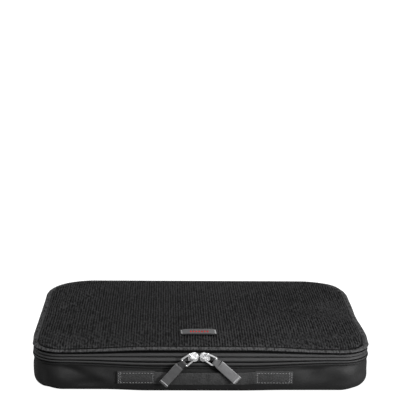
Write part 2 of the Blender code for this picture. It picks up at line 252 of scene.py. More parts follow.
def waisted(point):
    """Draws the soft sides in: most at the front corners, and on the right a little at mid-depth too."""
    point.x *= waist(point)
    return point


def tucked(outward, height):
    """How far the low part of the wall is tucked in where it turns a corner."""
    corner = (2 * abs(outward.x * outward.y)) ** 1.2
    return CORNER_TUCK * corner * smooth_step((TUCK_HEIGHT - height) / TUCK_HEIGHT)


def foot_lift(point, height):
    """How far the foot rides up beside the front middle."""
    front = smooth_step((-0.140 - point.y) / 0.015)
    side = smooth_step((abs(point.x + 0.010) - 0.060) / 0.060)
    lift = FOOT_LIFT["left" if point.x < 0 else "right"]
    return front * side * lift * smooth_step((0.012 - height) / 0.010)


def pressed(point, height):
    """Lid edge and tray edge draw together towards the sides, where the soft zip gives."""
    side = smooth_step((abs(point.x) - 0.060) / 0.120)
    back = smooth_step((0.145 - point.y) / 0.100)
    kept = 1 - BAND_PRESS * side * back
    if height >= TRAY_TOP:
        return SPLIT_Z + (height - SPLIT_Z) * kept
    return height * (SPLIT_Z - (SPLIT_Z - TRAY_TOP) * kept) / TRAY_TOP


def smooth_step(share):
    """Eases from 0 to 1 as the share does, flat at both ends."""
    share = min(max(share, 0), 1)
    return share * share * (3 - 2 * share)


def on_rim(length, inset, height):
    point, outward = rim(length)
    inset += tucked(outward, height)
    height = pressed(point, height) + foot_lift(point, height)
    return waisted(point - outward * inset + Vector((0, 0, height)))


def along_line(points, share):
    """A point on a smooth line through the given ones."""
    place = min(max(share, 0), 1) * (len(points) - 1)
    index = min(int(place), len(points) - 2)
    t = place - index
    a = Vector(points[max(index - 1, 0)])
    b = Vector(points[index])
    c = Vector(points[index + 1])
    d = Vector(points[min(index + 2, len(points) - 1)])
    bend = (2 * b) + (c - a) * t + (2 * a - 5 * b + 4 * c - d) * t**2 + (3 * b - a - 3 * c + d) * t**3
    return bend / 2


def wrapped(columns, rows, place, reach=(1, 1)):
    """A grid wrapped to a shape: place gives each point from its two shares, which times reach are its UV."""
    bm = bmesh.new()
    bmesh.ops.create_grid(bm, x_segments=columns, y_segments=rows, size=0.5)
    layer = bm.loops.layers.uv.new("UVMap")
    shares = {vert: (vert.co.x + 0.5, vert.co.y + 0.5) for vert in bm.verts}
    for face in bm.faces:
        for corner in face.loops:
            across, along = shares[corner.vert]
            corner[layer].uv = (across * reach[0], along * reach[1])
    for vert, (across, along) in shares.items():
        vert.co = place(across, along)
    bmesh.ops.remove_doubles(bm, verts=bm.verts, dist=2e-6)
    return bm


def facing(bm, middle=None, way=None):
    """Turns an open sheet so that its faces look away from a point, or along a way."""
    total = 0
    for face in bm.faces:
        aim = way if way else face.calc_center_median() - middle
        total += face.normal.dot(aim) * face.calc_area()
    if total < 0:
        bmesh.ops.reverse_faces(bm, faces=bm.faces)
    return bm


def closed_up(bm):
    """Caps open ends and points every face outwards."""
    ends = [edge for edge in bm.edges if edge.is_boundary]
    if ends:
        bmesh.ops.holes_fill(bm, edges=ends, sides=0)
    bmesh.ops.recalc_face_normals(bm, faces=bm.faces)
    return bm


def band(section, stations, open_from=0.0, reach_v=0.02):
    """A closed section of (inset, height) points carried round the case, or round all but its back run."""
    start = open_from
    run = RIM_LENGTH - 2 * open_from

    def place(across, along):
        inset, height = section[round(along * len(section)) % len(section)]
        return on_rim(start + across * run, inset, height)

    return closed_up(wrapped(stations, len(section), place, (run, reach_v)))


def piece(name, bm, skins, body, replaced=(), sharp=None):
    """Makes a finished mesh a named object that rides on its body and stands for its CAD nodes."""
    mesh = bpy.data.meshes.new(name)
    for face in bm.faces:
        face.smooth = True
    bm.to_mesh(mesh)
    bm.free()
    if sharp:
        mesh.set_sharp_from_angle(angle=math.radians(sharp))
    for skin in skins:
        mesh.materials.append(skin)
    obj = bpy.data.objects.new(name, mesh)
    bpy.context.scene.collection.objects.link(obj)
    if body:
        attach(obj, body)
    if replaced:
        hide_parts(*replaced)
    return obj


def sheet_wall(obj, thickness):
    """Gives an open sheet its cloth thickness, inwards."""
    wall = obj.modifiers.new("cloth thickness", "SOLIDIFY")
    wall.thickness = thickness
    wall.offset = -1
    return obj


def stitches(places, length, radius):
    """One rounded stitch laid at each place, given as (middle, direction, outward)."""
    bm = bmesh.new()
    for middle, way, outward in places:
        across = outward.cross(way).normalized()
        turn = Matrix((way.normalized(), across, outward.normalized())).transposed().to_4x4()
        place = Matrix.Translation(middle) @ turn @ Matrix.Diagonal((length / 2, radius, radius, 1))
        made = bmesh.ops.create_icosphere(bm, subdivisions=1, radius=1, matrix=place)
        for vert in made["verts"]:
            reach = (vert.co - middle).dot(way.normalized()) / (length / 2)
            vert.co += way.normalized() * reach * (1 - abs(reach)) * length * 0.18
            vert.co -= outward.normalized() * radius * 0.9 * reach**4
    return bm


def paint_shade_rows(bm, reach_v, parts):
    """Gives the faces in some parts of a band's section the second, darker material: painted shade where the
    band runs into a groove, lies along an edge or meets the floor.
    """
    layer = bm.loops.layers.uv.verify()
    for face in bm.faces:
        share = sum(corner[layer].uv.y for corner in face.loops) / len(face.loops) / reach_v
        if any(low < share < high for low, high in parts):
            face.material_index = 1
    return bm


def block(low, high):
    """A box between two corners."""
    bm = bmesh.new()
    low = Vector(low)
    high = Vector(high)
    place = Matrix.Translation((low + high) / 2) @ Matrix.Diagonal((*(high - low), 1))
    bmesh.ops.create_cube(bm, size=1, matrix=place)
    return bm


def rounded(bm, edges, offset, segments=3, affect="EDGES"):
    """Rounds off edges, or corners where affect says so."""
    bmesh.ops.bevel(
        bm, geom=edges, offset=offset, offset_type="OFFSET",
        segments=segments, profile=0.5, affect=affect, material=-1,
    )
    return bm


# ---------------------------------------------------------------- materials

# Threads to the metre of each cloth, and how deep its weave is.
NYLON_WEAVE = (1600.0, 0.00006)
GROOVE_SHADE_WEAVE = (1250.0, 0.00008)
EDGE_WEAVE = (1250.0, 0.00010)
TAPE_WEAVE = (1250.0, 0.00012)
PIPING_WEAVE = (1100.0, 0.00010)
BINDING_WEAVE = (1000.0, 0.00010)
LABEL_WEAVE = (2300.0, 0.00005)

# Painted shade: how dark the edges of tape, webbing and label are beside their faces, painted in for the
# shade in the grooves and along their edges.
TAPE_EDGE_PAINTED_SHADE = 0.12
WEB_EDGE_PAINTED_SHADE = 0.15
LABEL_RIM_PAINTED_SHADE = 0.20


def skin(name, colour, roughness, metallic=0.0, sheen=0.0, specular=0.5):
    """A new material with its shader, and a helper for adding its nodes."""
    made = bpy.data.materials.new(name)
    made.use_nodes = True
    nodes = made.node_tree.nodes
    shader = nodes["Principled BSDF"]
    shader.inputs["Base Color"].default_value = (*colour, 1)
    shader.inputs["Roughness"].default_value = roughness
    shader.inputs["Metallic"].default_value = metallic
    shader.inputs["Sheen Weight"].default_value = sheen
    shader.inputs["Sheen Roughness"].default_value = 0.4
    shader.inputs["Specular IOR Level"].default_value = specular
    return made


class Wiring:
    """Short ways to add and join a material's nodes."""

    def __init__(self, made):
        self.tree = made.node_tree
        self.shader = made.node_tree.nodes["Principled BSDF"]
        self.coordinates = self.tree.nodes.new("ShaderNodeTexCoord")

    def join(self, source, target):
        self.tree.links.new(source, target)

    def mapped(self, source, scale):
        node = self.tree.nodes.new("ShaderNodeMapping")
        node.inputs["Scale"].default_value = scale
        self.join(self.coordinates.outputs[source], node.inputs["Vector"])
        return node.outputs["Vector"]

    def noise(self, source, scale, stretch=(1, 1, 1), detail=3.0):
        node = self.tree.nodes.new("ShaderNodeTexNoise")
        node.inputs["Scale"].default_value = scale
        node.inputs["Detail"].default_value = detail
        self.join(self.mapped(source, stretch), node.inputs["Vector"])
        return node.outputs["Fac"]

    def wave(self, source, scale, direction):
        """Even threads: scale is how many to the metre."""
        node = self.tree.nodes.new("ShaderNodeTexWave")
        node.wave_type = "BANDS"
        node.bands_direction = direction
        node.wave_profile = "SIN"
        node.inputs["Scale"].default_value = scale * math.tau / 20
        node.inputs["Distortion"].default_value = 0
        self.join(self.coordinates.outputs[source], node.inputs["Vector"])
        return node.outputs["Fac"]

    def cells(self, source, scale, feature="F1"):
        node = self.tree.nodes.new("ShaderNodeTexVoronoi")
        node.feature = feature
        node.inputs["Scale"].default_value = scale
        self.join(self.coordinates.outputs[source], node.inputs["Vector"])
        return node.outputs["Distance"]

    def sums(self, operation, first, second):
        node = self.tree.nodes.new("ShaderNodeMath")
        node.operation = operation
        for index, value in enumerate((first, second)):
            if isinstance(value, (int, float)):
                node.inputs[index].default_value = value
            else:
                self.join(value, node.inputs[index])
        return node.outputs["Value"]

    def span(self, value, low, high, start=0.0, end=1.0):
        node = self.tree.nodes.new("ShaderNodeMapRange")
        node.inputs["From Min"].default_value = start
        node.inputs["From Max"].default_value = end
        node.inputs["To Min"].default_value = low
        node.inputs["To Max"].default_value = high
        self.join(value, node.inputs["Value"])
        return node.outputs["Result"]

    def shade(self, share, colour, dark, light):
        """Base colour that runs between a darker and a lighter shade of one colour."""
        node = self.tree.nodes.new("ShaderNodeMix")
        node.data_type = "RGBA"
        colours = [socket for socket in node.inputs if socket.type == "RGBA"]
        colours[0].default_value = (*(part * dark for part in colour), 1)
        colours[1].default_value = (*(min(part * light, 1) for part in colour), 1)
        self.join(share, node.inputs["Factor"])
        result = [socket for socket in node.outputs if socket.type == "RGBA"][0]
        self.join(result, self.shader.inputs["Base Color"])

    def bump(self, height, depth, strength=1.0):
        node = self.tree.nodes.new("ShaderNodeBump")
        node.inputs["Distance"].default_value = depth
        node.inputs["Strength"].default_value = strength
        self.join(height, node.inputs["Height"])
        self.join(node.outputs["Normal"], self.shader.inputs["Normal"])

    def rough(self, value):
        self.join(value, self.shader.inputs["Roughness"])


def woven(name, colour, threads, depth, roughness=0.62, sheen=0.02, source="UV", mottle=0.30, specular=0.35):
    """Plain-woven cloth: warp and weft threads, soft mottling and a low sheen."""
    found = bpy.data.materials.get(name)
    if found:
        return found
    made = skin(name, colour, roughness, sheen=sheen, specular=specular)
    wiring = Wiring(made)
    warp = wiring.wave(source, threads, "X")
    weft = wiring.wave(source, threads, "Y")
    cloth = wiring.sums("MULTIPLY", warp, weft)
    cloud = wiring.noise("Object", 22.0)
    grain = wiring.noise("Object", 900.0, detail=1.0)
    mixed = wiring.sums("ADD", wiring.sums("MULTIPLY", cloud, 0.6), wiring.sums("MULTIPLY", grain, 0.4))
    wiring.shade(mixed, colour, 1 - mottle, 1 + mottle)
    wiring.rough(wiring.span(cloud, roughness - 0.08, roughness + 0.10, 0.3, 0.7))
    wiring.bump(wiring.sums("ADD", cloth, wiring.sums("MULTIPLY", grain, 0.5)), depth)
    return made


def ribbed_mesh_skin(name, colour, pitch, open_share):
    """Knitted mesh: staggered open holes in the valleys between the ribs, painted dark as painted shade for
    the holes and the shaded valleys.
    """
    made = skin(name, colour, 0.62, sheen=0.01, specular=0.10)
    wiring = Wiring(made)
    valleys = wiring.wave("Object", 1 / pitch, "X")
    slant = wiring.wave("Object", 1 / 0.0052, "DIAGONAL")
    holes = wiring.sums("MULTIPLY", valleys, wiring.span(slant, 0.45, 1.0))
    cloud = wiring.noise("Object", 9.0)
    grain = wiring.noise("Object", 420.0, stretch=(1, 0.28, 1), detail=2.0)
    mixed = wiring.sums("ADD", wiring.sums("MULTIPLY", cloud, 0.6), wiring.sums("MULTIPLY", grain, 3.4))
    # Painted shade: the holes and the valleys between the ribs are painted dark.
    cut = wiring.sums("ADD", wiring.sums("MULTIPLY", holes, open_share), 1.15)
    light = wiring.sums("SUBTRACT", mixed, cut)
    wiring.shade(light, colour, 0.12, 2.6)
    wiring.rough(wiring.span(cloud, 0.55, 0.75, 0.3, 0.7))
    wiring.bump(wiring.sums("SUBTRACT", 1.0, holes), 0.0003, 0.7)
    return made


def chrome_skin():
    """Bright plating, a little smeared and scratched."""
    found = bpy.data.materials.get("bright_plate")
    if found:
        return found
    made = skin("bright_plate", CHROME_COLOUR, 0.18, metallic=0.62)
    wiring = Wiring(made)
    smear = wiring.noise("Object", 160.0, detail=4.0)
    scratch = wiring.noise("Object", 1400.0, stretch=(1, 1, 6), detail=2.0)
    wiring.rough(wiring.span(smear, 0.10, 0.26, 0.3, 0.7))
    wiring.shade(smear, CHROME_COLOUR, 0.85, 1.05)
    wiring.bump(scratch, 0.00002, 0.4)
    return made


def leather_skin(name, colour, light):
    """Grained leathercloth, its colour scaled by light: painted light and shade for lit and shaded copies,
    and a painted highlight on the edges.
    """
    made = skin(name, [part * light for part in colour], 0.48, specular=0.3)
    wiring = Wiring(made)
    grain = wiring.cells("Object", 1500.0)
    cloud = wiring.noise("Object", 180.0, detail=4.0)
    wiring.shade(cloud, [part * light for part in colour], 0.78, 1.22)
    wiring.rough(wiring.span(cloud, 0.38, 0.60, 0.3, 0.7))
    wiring.bump(grain, 0.00008, 0.8)
    return made


def thread_skin(colours):
    """Twisted sewing thread."""
    found = bpy.data.materials.get("sewing_thread")
    if found:
        return found
    made = skin("sewing_thread", colours.thread, 0.55, sheen=0.02, specular=0.2)
    wiring = Wiring(made)
    twist = wiring.noise("Object", 3000.0, stretch=(1, 1, 2), detail=1.0)
    wiring.shade(twist, colours.thread, 0.7, 1.3)
    wiring.bump(twist, 0.00005)
    return made


# ---------------------------------------------------------------- soft shapes

# Cells along and across each cloth's grid.
WALL_CELLS = (520, 44)
BASE_CELLS = (90, 60)
PANEL_CELLS = (780, 60)
STRIP_CELLS = (150, 56)
LABEL_CELLS = (60, 64)

# UV widths across the wall and the bands, and the base's inset from the outline.
WALL_GIRTH = 0.046
PIPING_GIRTH = 0.016
TAPE_GIRTH = 0.018
STRAP_GIRTH = 0.038
BASE_INSET = 0.0165
NET_THICK = 0.0006
# Width of the painted shadow line along the mesh panel's rim.
SHADOW_LINE_WIDTH = 0.0015

WALL_LINE = (
    (0.0200, 0.0004), (0.0150, 0.0003), (0.0105, 0.0006), (0.0062, 0.0022),
    (0.0032, 0.0056), (0.0014, 0.0105), (0.0007, 0.0165), (0.0008, 0.0225),
    (0.0014, 0.0285), (0.0022, 0.0325), (0.0022, 0.0338), (0.0012, 0.0347),
    (0.0012, 0.0357), (0.0024, 0.0366), (0.0042, 0.0369),
)

# Dents in the wall: how far right of the front middle, how high, how long, how tall,
# how deep, and the slope.
WALL_DENTS = (
    (-0.178, 0.0330, 0.022, 0.0055, -0.8, -0.40),
    (-0.186, 0.0185, 0.016, 0.0070, 0.35, -0.35),
    (-0.150, 0.0130, 0.024, 0.0045, -0.5, 0.15),
    (-0.215, 0.0180, 0.010, 0.0100, -0.5, 0.0),
    (-0.130, 0.0200, 0.018, 0.0060, 0.4, -0.30),
    (0.150, 0.0340, 0.030, 0.0050, -0.7, 0.12),
    (0.185, 0.0280, 0.014, 0.0060, 0.35, 0.60),
    (0.170, 0.0160, 0.022, 0.0060, 0.35, 0.30),
    (0.145, 0.0240, 0.012, 0.0060, -0.4, 0.50),
    (0.215, 0.0200, 0.012, 0.0090, -0.5, 0.10),
    (-0.330, 0.0220, 0.040, 0.0070, -0.6, 0.10),
    (0.330, 0.0200, 0.040, 0.0070, -0.6, -0.08),
    (-0.400, 0.0160, 0.020, 0.0070, 0.6, -0.15),
    (0.410, 0.0170, 0.020, 0.0070, 0.6, 0.15),
    (0.600, 0.0210, 0.050, 0.0060, -0.7, 0.05),
    (-0.560, 0.0180, 0.046, 0.0070, -0.6, -0.06),
    (-0.680, 0.0150, 0.025, 0.0080, 0.6, -0.08),
    (0.690, 0.0160, 0.025, 0.0080, 0.6, 0.08),
)


def wall_push(length, height):
    """How far the wall stands out of its plain section at a place, as a share of the fold depth."""
    push = 0
    for where, up, long, tall, deep, slope in WALL_DENTS:
        gap = (length - where) % RIM_LENGTH - RIM_LENGTH / 2
        rise = height - up - slope * gap
        push += deep * math.exp(-((gap / long) ** 2) - (rise / tall) ** 2)
    wave = noise.noise(Vector((length * 22, height * 60, 3.1)))
    front = abs(length - RIM_LENGTH / 2)
    calm = 0.15 + 0.85 * smooth_step((front - 0.108) / 0.03)
    window = smooth_step(height / 0.008) * smooth_step((0.0345 - height) / 0.006)
    return window * calm * (push + 0.45 * wave)


def make_wall(cloth, colours):
    """The tray's soft wall, rolled under at its foot, which is painted dark as a contact shadow."""
    def place(across, along):
        inset, height = along_line(WALL_LINE, along)
        push = cloth.fold_depth * wall_push(across * RIM_LENGTH, height)
        return on_rim(across * RIM_LENGTH, inset - push, height)

    bm = wrapped(*WALL_CELLS, place, (RIM_LENGTH, WALL_GIRTH))
    facing(bm, middle=Vector((0, 0, 0.02)))
    # Painted shadow: the lowest rows of the wall, at its foot, take the dark foot colour.
    paint_shade_rows(bm, WALL_GIRTH, ((-0.01, 0.19),))
    nylon = woven("plain_nylon", colours.nylon, *NYLON_WEAVE)
    foot = woven("nylon_painted_foot_shadow", PAINTED_FOOT_SHADOW, *NYLON_WEAVE, specular=0.05)
    wall = piece("nylon_wall", bm, [nylon, foot], "tray", ["side_wall"])
    sheet_wall(wall, cloth.wall_thickness)


def edge_y(x, inset, side):
    """How far forward or back the outline lies at x, set in by an inset."""
    radius = BACK_CORNER if side > 0 else FRONT_CORNER
    reach = max(abs(x) - HALF_WIDTH + radius, 0)
    return side * (HALF_DEPTH - radius + math.sqrt(max((radius - inset) ** 2 - reach**2, 0)))


def filled_outline(columns, rows, inset, height):
    """A sheet that fills the outline, in columns that run straight from front to back."""
    turning = FRONT_CORNER - inset
    half = HALF_WIDTH - inset
    run = half - turning
    reach = run + math.pi / 2 * turning

    def place(across, along):
        gone = abs(2 * across - 1) * reach
        x = gone if gone < run else run + turning * math.sin(min((gone - run) / turning, math.pi / 2))
        x = math.copysign(x, across - 0.5)
        share = 0.33 * along + 0.67 * along**2 - 0.50 * math.sin(math.tau * along**2) / math.tau
        front = edge_y(x, inset, -1)
        y = front + (edge_y(x, inset, 1) - front) * share
        return waisted(Vector((x, y, height(x, y))))

    return wrapped(columns, rows, place, (2 * HALF_WIDTH, 2 * HALF_DEPTH))


def make_base(cloth, colours):
    """The tray's flat bottom cloth."""
    def height(x, y):
        soft = noise.noise(Vector((x * 9, y * 9, 7.7)))
        return 0.0006 + 0.0004 * max(soft, 0)

    bm = facing(filled_outline(*BASE_CELLS, BASE_INSET, height), way=Vector((0, 0, -1)))
    dull = {"roughness": 0.75, "mottle": 0.22, "specular": 0.12}
    nylon = woven("base_nylon_cloth", colours.nylon, *NYLON_WEAVE, **dull)
    base = piece("nylon_base", bm, [nylon], "tray", ["base_panel"])
    sheet_wall(base, cloth.wall_thickness)


def inset_of(x, y):
    """How far a point lies inside the outline, rounded off where the sides meet."""
    side = HALF_WIDTH - abs(x)
    end = HALF_DEPTH - abs(y)
    radius = BACK_CORNER if y > 0 else FRONT_CORNER
    exact = min(side, end)
    if side < radius and end < radius:
        exact = radius - math.hypot(radius - side, radius - end)
    width = 0.030
    soft = -width * math.log(math.exp(-side / width) + math.exp(-end / width))
    share = smooth_step(exact / 0.060)
    return exact * (1 - share) + soft * share


# Creases in the mesh panel: from, to, half width, height.
PANEL_CREASES = (
    ((0.004, -0.1280), (0.044, -0.1380), 0.0032, 0.0017),
    ((0.100, -0.1330), (0.128, -0.1315), 0.0032, 0.0017),
    ((0.128, -0.1315), (0.168, -0.1260), 0.0032, 0.0017),
    ((-0.205, 0.000), (-0.150, 0.112), 0.0130, 0.0045),
    ((0.120, -0.020), (0.190, 0.020), 0.0140, -0.0012),
    ((0.176, -0.125), (0.195, -0.105), 0.0040, -0.0014),
    ((-0.190, -0.110), (-0.165, -0.132), 0.0050, -0.0010),
    ((0.060, 0.060), (0.150, 0.100), 0.0180, 0.0012),
    ((-0.060, 0.000), (0.020, -0.030), 0.0220, -0.0010),
)


def crease(x, y, start, end, width, height):
    """The height that one soft crease adds at a point."""
    way = Vector(end) - Vector(start)
    reach = Vector((x, y)) - Vector(start)
    share = reach.dot(way) / way.length_squared
    off = (reach - way * min(max(share, 0), 1)).length
    ends = smooth_step(min(share + 0.25, 1.25 - share) / 0.35)
    return height * ends * math.exp(-((off / width) ** 2))


def panel_height(x, y, crown):
    """The mesh panel's surface without its ribs."""
    inset = inset_of(x, y) - PANEL_INSET
    rise = 0.0034 * (1 - math.exp(-inset / 0.0018)) + crown * (1 - math.exp(-inset / 0.040))
    slack = noise.noise(Vector((x * 12, y * 12, 1.3))) + 0.5 * noise.noise(Vector((x * 30, y * 26, 5.3)))
    near = smooth_step(inset / 0.030)
    rise += 0.0009 * near * slack
    pucker = noise.noise(Vector((x * 130, y * 130, 2.2)))
    rise += 0.0009 * pucker * math.exp(-(((inset - 0.006) / 0.008) ** 2))
    for start, end, width, height in PANEL_CREASES:
        rise += crease(x, y, start, end, width, height)
    drop = PANEL_RIM_Z - pressed(Vector((x, y, 0)), PANEL_RIM_Z)
    return PANEL_RIM_Z - drop * math.exp(-inset / 0.050) + rise


def make_panel(cloth, colours):
    """The lid's ribbed mesh, with a painted shadow line along the rim."""
    def height(x, y):
        ribs = math.cos(math.tau * x / cloth.rib_pitch)
        inset = inset_of(x, y) - PANEL_INSET
        return panel_height(x, y, cloth.crown) + cloth.rib_height * ribs * smooth_step(inset / 0.004)

    bm = facing(filled_outline(*PANEL_CELLS, PANEL_INSET, height), way=Vector((0, 0, 1)))
    # Painted shadow: faces within the shadow line's width of the rim take the dark groove colour.
    for face in bm.faces:
        middle = face.calc_center_median()
        if inset_of(middle.x / waist(middle), middle.y) - PANEL_INSET < SHADOW_LINE_WIDTH:
            face.material_index = 1
    net = ribbed_mesh_skin("ribbed_mesh", colours.net, cloth.rib_pitch, 1.1)
    painted_shade = woven("painted_groove_shade", PAINTED_GROOVE_SHADE, *GROOVE_SHADE_WEAVE, specular=0.1)
    panel = piece("ribbed_mesh_panel", bm, [net, painted_shade], "lid", ["mesh_panel"])
    sheet_wall(panel, NET_THICK)


def make_piping(name, height, section, ribs, body, node, cloth):
    """Cord under cloth, half as wide and half as tall as the section says. Mesh ribs may run on over it."""
    wide, tall = section

    def place(across, along):
        length = across * RIM_LENGTH
        turn = along * math.tau
        outward = rim(length)[1]
        middle = on_rim(length, wide, height)
        kept = (pressed(rim(length)[0], 2 * SPLIT_Z) - SPLIT_Z) / SPLIT_Z
        soft = 1 + 0.05 * noise.noise(Vector((length * 40, height * 900, turn)))
        soft += ribs / tall * math.cos(math.tau * middle.x / 0.0035)
        up = Vector((0, 0, kept * tall * math.sin(turn) * soft))
        return middle - outward * wide * math.cos(turn) * soft + up

    bm = closed_up(wrapped(1600 if ribs else 480, 14, place, (RIM_LENGTH, PIPING_GIRTH)))
    # Painted shade on the faces that turn into the grooves above and below the piping.
    paint_shade_rows(bm, PIPING_GIRTH, ((-0.01, 0.08), (0.60, 1.01)) if ribs else ((0.15, 0.33), (0.60, 0.85)))
    painted_shade = woven("painted_groove_shade", PAINTED_GROOVE_SHADE, *GROOVE_SHADE_WEAVE, specular=0.1)
    piece(name, bm, [cloth, painted_shade], body, [node])


FOOT_BINDING = (
    (0.0152, 0.0020), (0.0108, 0.0034), (0.0080, 0.0072), (0.0089, 0.0076),
    (0.0116, 0.0044), (0.0155, 0.0030),
)
LID_BINDING = (
    (0.0058, 0.0552), (0.0056, 0.0576), (0.0058, 0.0600), (0.0066, 0.0600),
    (0.0069, 0.0576), (0.0066, 0.0552),
)
TRAY_BINDING = (
    (0.0052, 0.0362), (0.0050, 0.0394), (0.0052, 0.0425), (0.0060, 0.0425),
    (0.0063, 0.0394), (0.0060, 0.0362),
)


def make_binding(name, section, body, node, colours):
    """Folded tape over a seam, inside the case."""
    cloth = woven("binding_tape", colours.nylon, *BINDING_WEAVE, sheen=0.03)
    piece(name, band(section, 260, reach_v=0.014), [cloth], body, [node], sharp=50)


UPPER_TAPE = (
    (0.0030, 0.04985), (0.0020, 0.04990), (0.0012, 0.05030), (0.0009, 0.05100),
    (0.0011, 0.05200), (0.0016, 0.05320), (0.0021, 0.05440), (0.0027, 0.05530),
    (0.0036, 0.05600), (0.0048, 0.05640), (0.0050, 0.05570), (0.0040, 0.05520),
    (0.0032, 0.05440), (0.0026, 0.05300), (0.0022, 0.05160), (0.0026, 0.05070),
)
LOWER_TAPE = (
    (0.0046, 0.0430), (0.0030, 0.0430), (0.0018, 0.0433), (0.0011, 0.0438),
    (0.0009, 0.0446), (0.0012, 0.0456), (0.0016, 0.0466), (0.0020, 0.0476),
    (0.0025, 0.0486), (0.0033, 0.0492), (0.0036, 0.0487), (0.0031, 0.0478),
    (0.0027, 0.0466), (0.0023, 0.0454), (0.0024, 0.0444), (0.0034, 0.0439),
)


def make_tape(name, section, parts, body, node, colours):
    """One half of the zip's tape, with painted shade where its edges run into the seams."""
    cloth = woven("zip_tape_cloth", colours.tape, *TAPE_WEAVE, roughness=0.6, sheen=0.03)
    # Painted shade: a darker copy of the tape for its edges in the grooves.
    dark = [part * TAPE_EDGE_PAINTED_SHADE for part in colours.tape]
    painted_shade = woven("zip_tape_painted_shade", dark, *TAPE_WEAVE, specular=0.1)
    bm = band(section, 420, open_from=BACK_RUN + 0.0003, reach_v=TAPE_GIRTH)
    paint_shade_rows(bm, TAPE_GIRTH, parts)
    piece(name, bm, [cloth, painted_shade], body, [node], sharp=70)


COIL_INSET = 0.0041
COIL_HALF = (0.00075, 0.00085)
COIL_WIRE = 0.00030


def make_coil(name, height, body, node, trims, colours):
    """One side's teeth: a flattened coil of nylon wire along the tape's edge."""
    start = BACK_RUN + 0.0004
    run = RIM_LENGTH - 2 * start
    turns = int(run / trims.tooth_pitch)

    def place(across, along):
        turn = across * turns * math.tau
        around = along * math.tau
        reach = 1 + 0.30 * math.cos(around)
        inset = COIL_INSET + COIL_HALF[0] * reach * math.cos(turn)
        up = height + COIL_HALF[1] * reach * math.sin(turn)
        point = on_rim(start + across * run, inset, up)
        ahead = rim(start + across * run)[1]
        return point + Vector((-ahead.y, ahead.x, 0)) * COIL_WIRE * math.sin(around)

    bm = closed_up(wrapped(turns * 8, 5, place, (run, 0.004)))
    made = bpy.data.materials.get("coil_nylon")
    if not made:
        made = skin("coil_nylon", colours.nylon, 0.38, specular=0.5)
        wiring = Wiring(made)
        cloud = wiring.noise("Object", 300.0)
        wiring.shade(cloud, colours.nylon, 0.8, 1.5)
        wiring.rough(wiring.span(cloud, 0.30, 0.46, 0.3, 0.7))
    piece(name, bm, [made], body, [node])


# The back strip's lower half as inset and height, its ply, and how wavy it is between its seams.
STRIP_LINE = ((0.0030, 0.0420), (0.0021, 0.0436), (0.0019, 0.0465), (0.0016, SPLIT_Z))
STRIP_PLY = 0.0009
STRIP_WAVE = 0.00035
STRIP_EASE = 0.0040
STRIP_SEAMS = (0.0440, 0.0552)


def make_hinge_cloth(colours):
    """The strip of cloth across the back that lid and tray both hang from."""
    low, high = STRIP_SEAMS
    outer = list(STRIP_LINE) + [(inset, 2 * SPLIT_Z - height) for inset, height in STRIP_LINE[-2::-1]]
    reach = BACK_RUN + 0.0030

    def place(across, along):
        x = (2 * across - 1) * reach
        turn = along * 2
        side = min(turn, 2 - turn)
        inset, height = along_line(outer, side)
        soft = noise.noise(Vector((x * 35, height * 120, 4.4)))
        free = smooth_step((height - low) / STRIP_EASE) * smooth_step((high - height) / STRIP_EASE)
        inset -= STRIP_WAVE * soft * free
        inset += STRIP_PLY if turn > 1 else 0
        return Vector((x, HALF_DEPTH - inset, height))

    bm = closed_up(wrapped(*STRIP_CELLS, place, (2 * reach, 0.034)))
    nylon = woven("plain_nylon", colours.nylon, *NYLON_WEAVE)
    names = ["hinge_strip_lower", "hinge_strip_upper"]
    strip = piece("back_hinge_cloth", bm, [nylon], None, names, sharp=60)
    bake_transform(strip)


# ---------------------------------------------------------------- strap and label

STRAP_FACE_Y = -0.1591
STRAP_HALF = 0.114
STRAP_FREE = 0.065
STRAP_THICK = 0.0013
STRAP_SLACK = 0.0014
STRAP_SAG = 0.0013
PATCH_LENGTH = 0.0490


def strap_line(x):
    """Front face and height of the strap's middle at x: flat at its ends, slack between them."""
    share = min(abs(x - STRAP_X) / STRAP_FREE, 1)
    slack = (1 - share**2) ** 2
    fold = 0.5 * noise.noise(Vector((x * 28, 0.3, 8.1))) * slack
    pinch = math.exp(-(((x - 0.006) / 0.004) ** 2))
    out = 2 * STRAP_THICK * smooth_step(share * 6 - 5) + STRAP_THICK * (1 - smooth_step(share * 6 - 5))
    face = STRAP_FACE_Y - out - STRAP_SLACK * slack - 0.0006 * fold + 0.0005 * pinch
    return face, STRAP_Z - STRAP_SAG * smooth_step((1 - share) * 4)


def ribbon(x_from, x_to, layer, half, stations):
    """A length of webbing along X. layer counts from the front one, 0, towards the wall."""
    ring = []
    edge = STRAP_THICK / 2
    for step in range(5):
        turn = math.pi / 2 - math.pi * step / 4
        ring.append((half - edge + edge * math.cos(turn), edge * math.sin(turn)))
    section = ring + [(0.0, -edge)] + [(-across, out) for across, out in reversed(ring)] + [(0.0, edge)]

    def place(across, along):
        x = x_from + (x_to - x_from) * across
        up, out = section[round(along * len(section)) % len(section)]
        face, middle = strap_line(x)
        end = min(x - x_from, x_to - x, 0.0012) / 0.0012
        return Vector((x, face + STRAP_THICK * (layer + 0.5) - out * (0.55 + 0.45 * end), middle + up))

    return wrapped(stations, len(section), place, (x_to - x_from, STRAP_GIRTH))


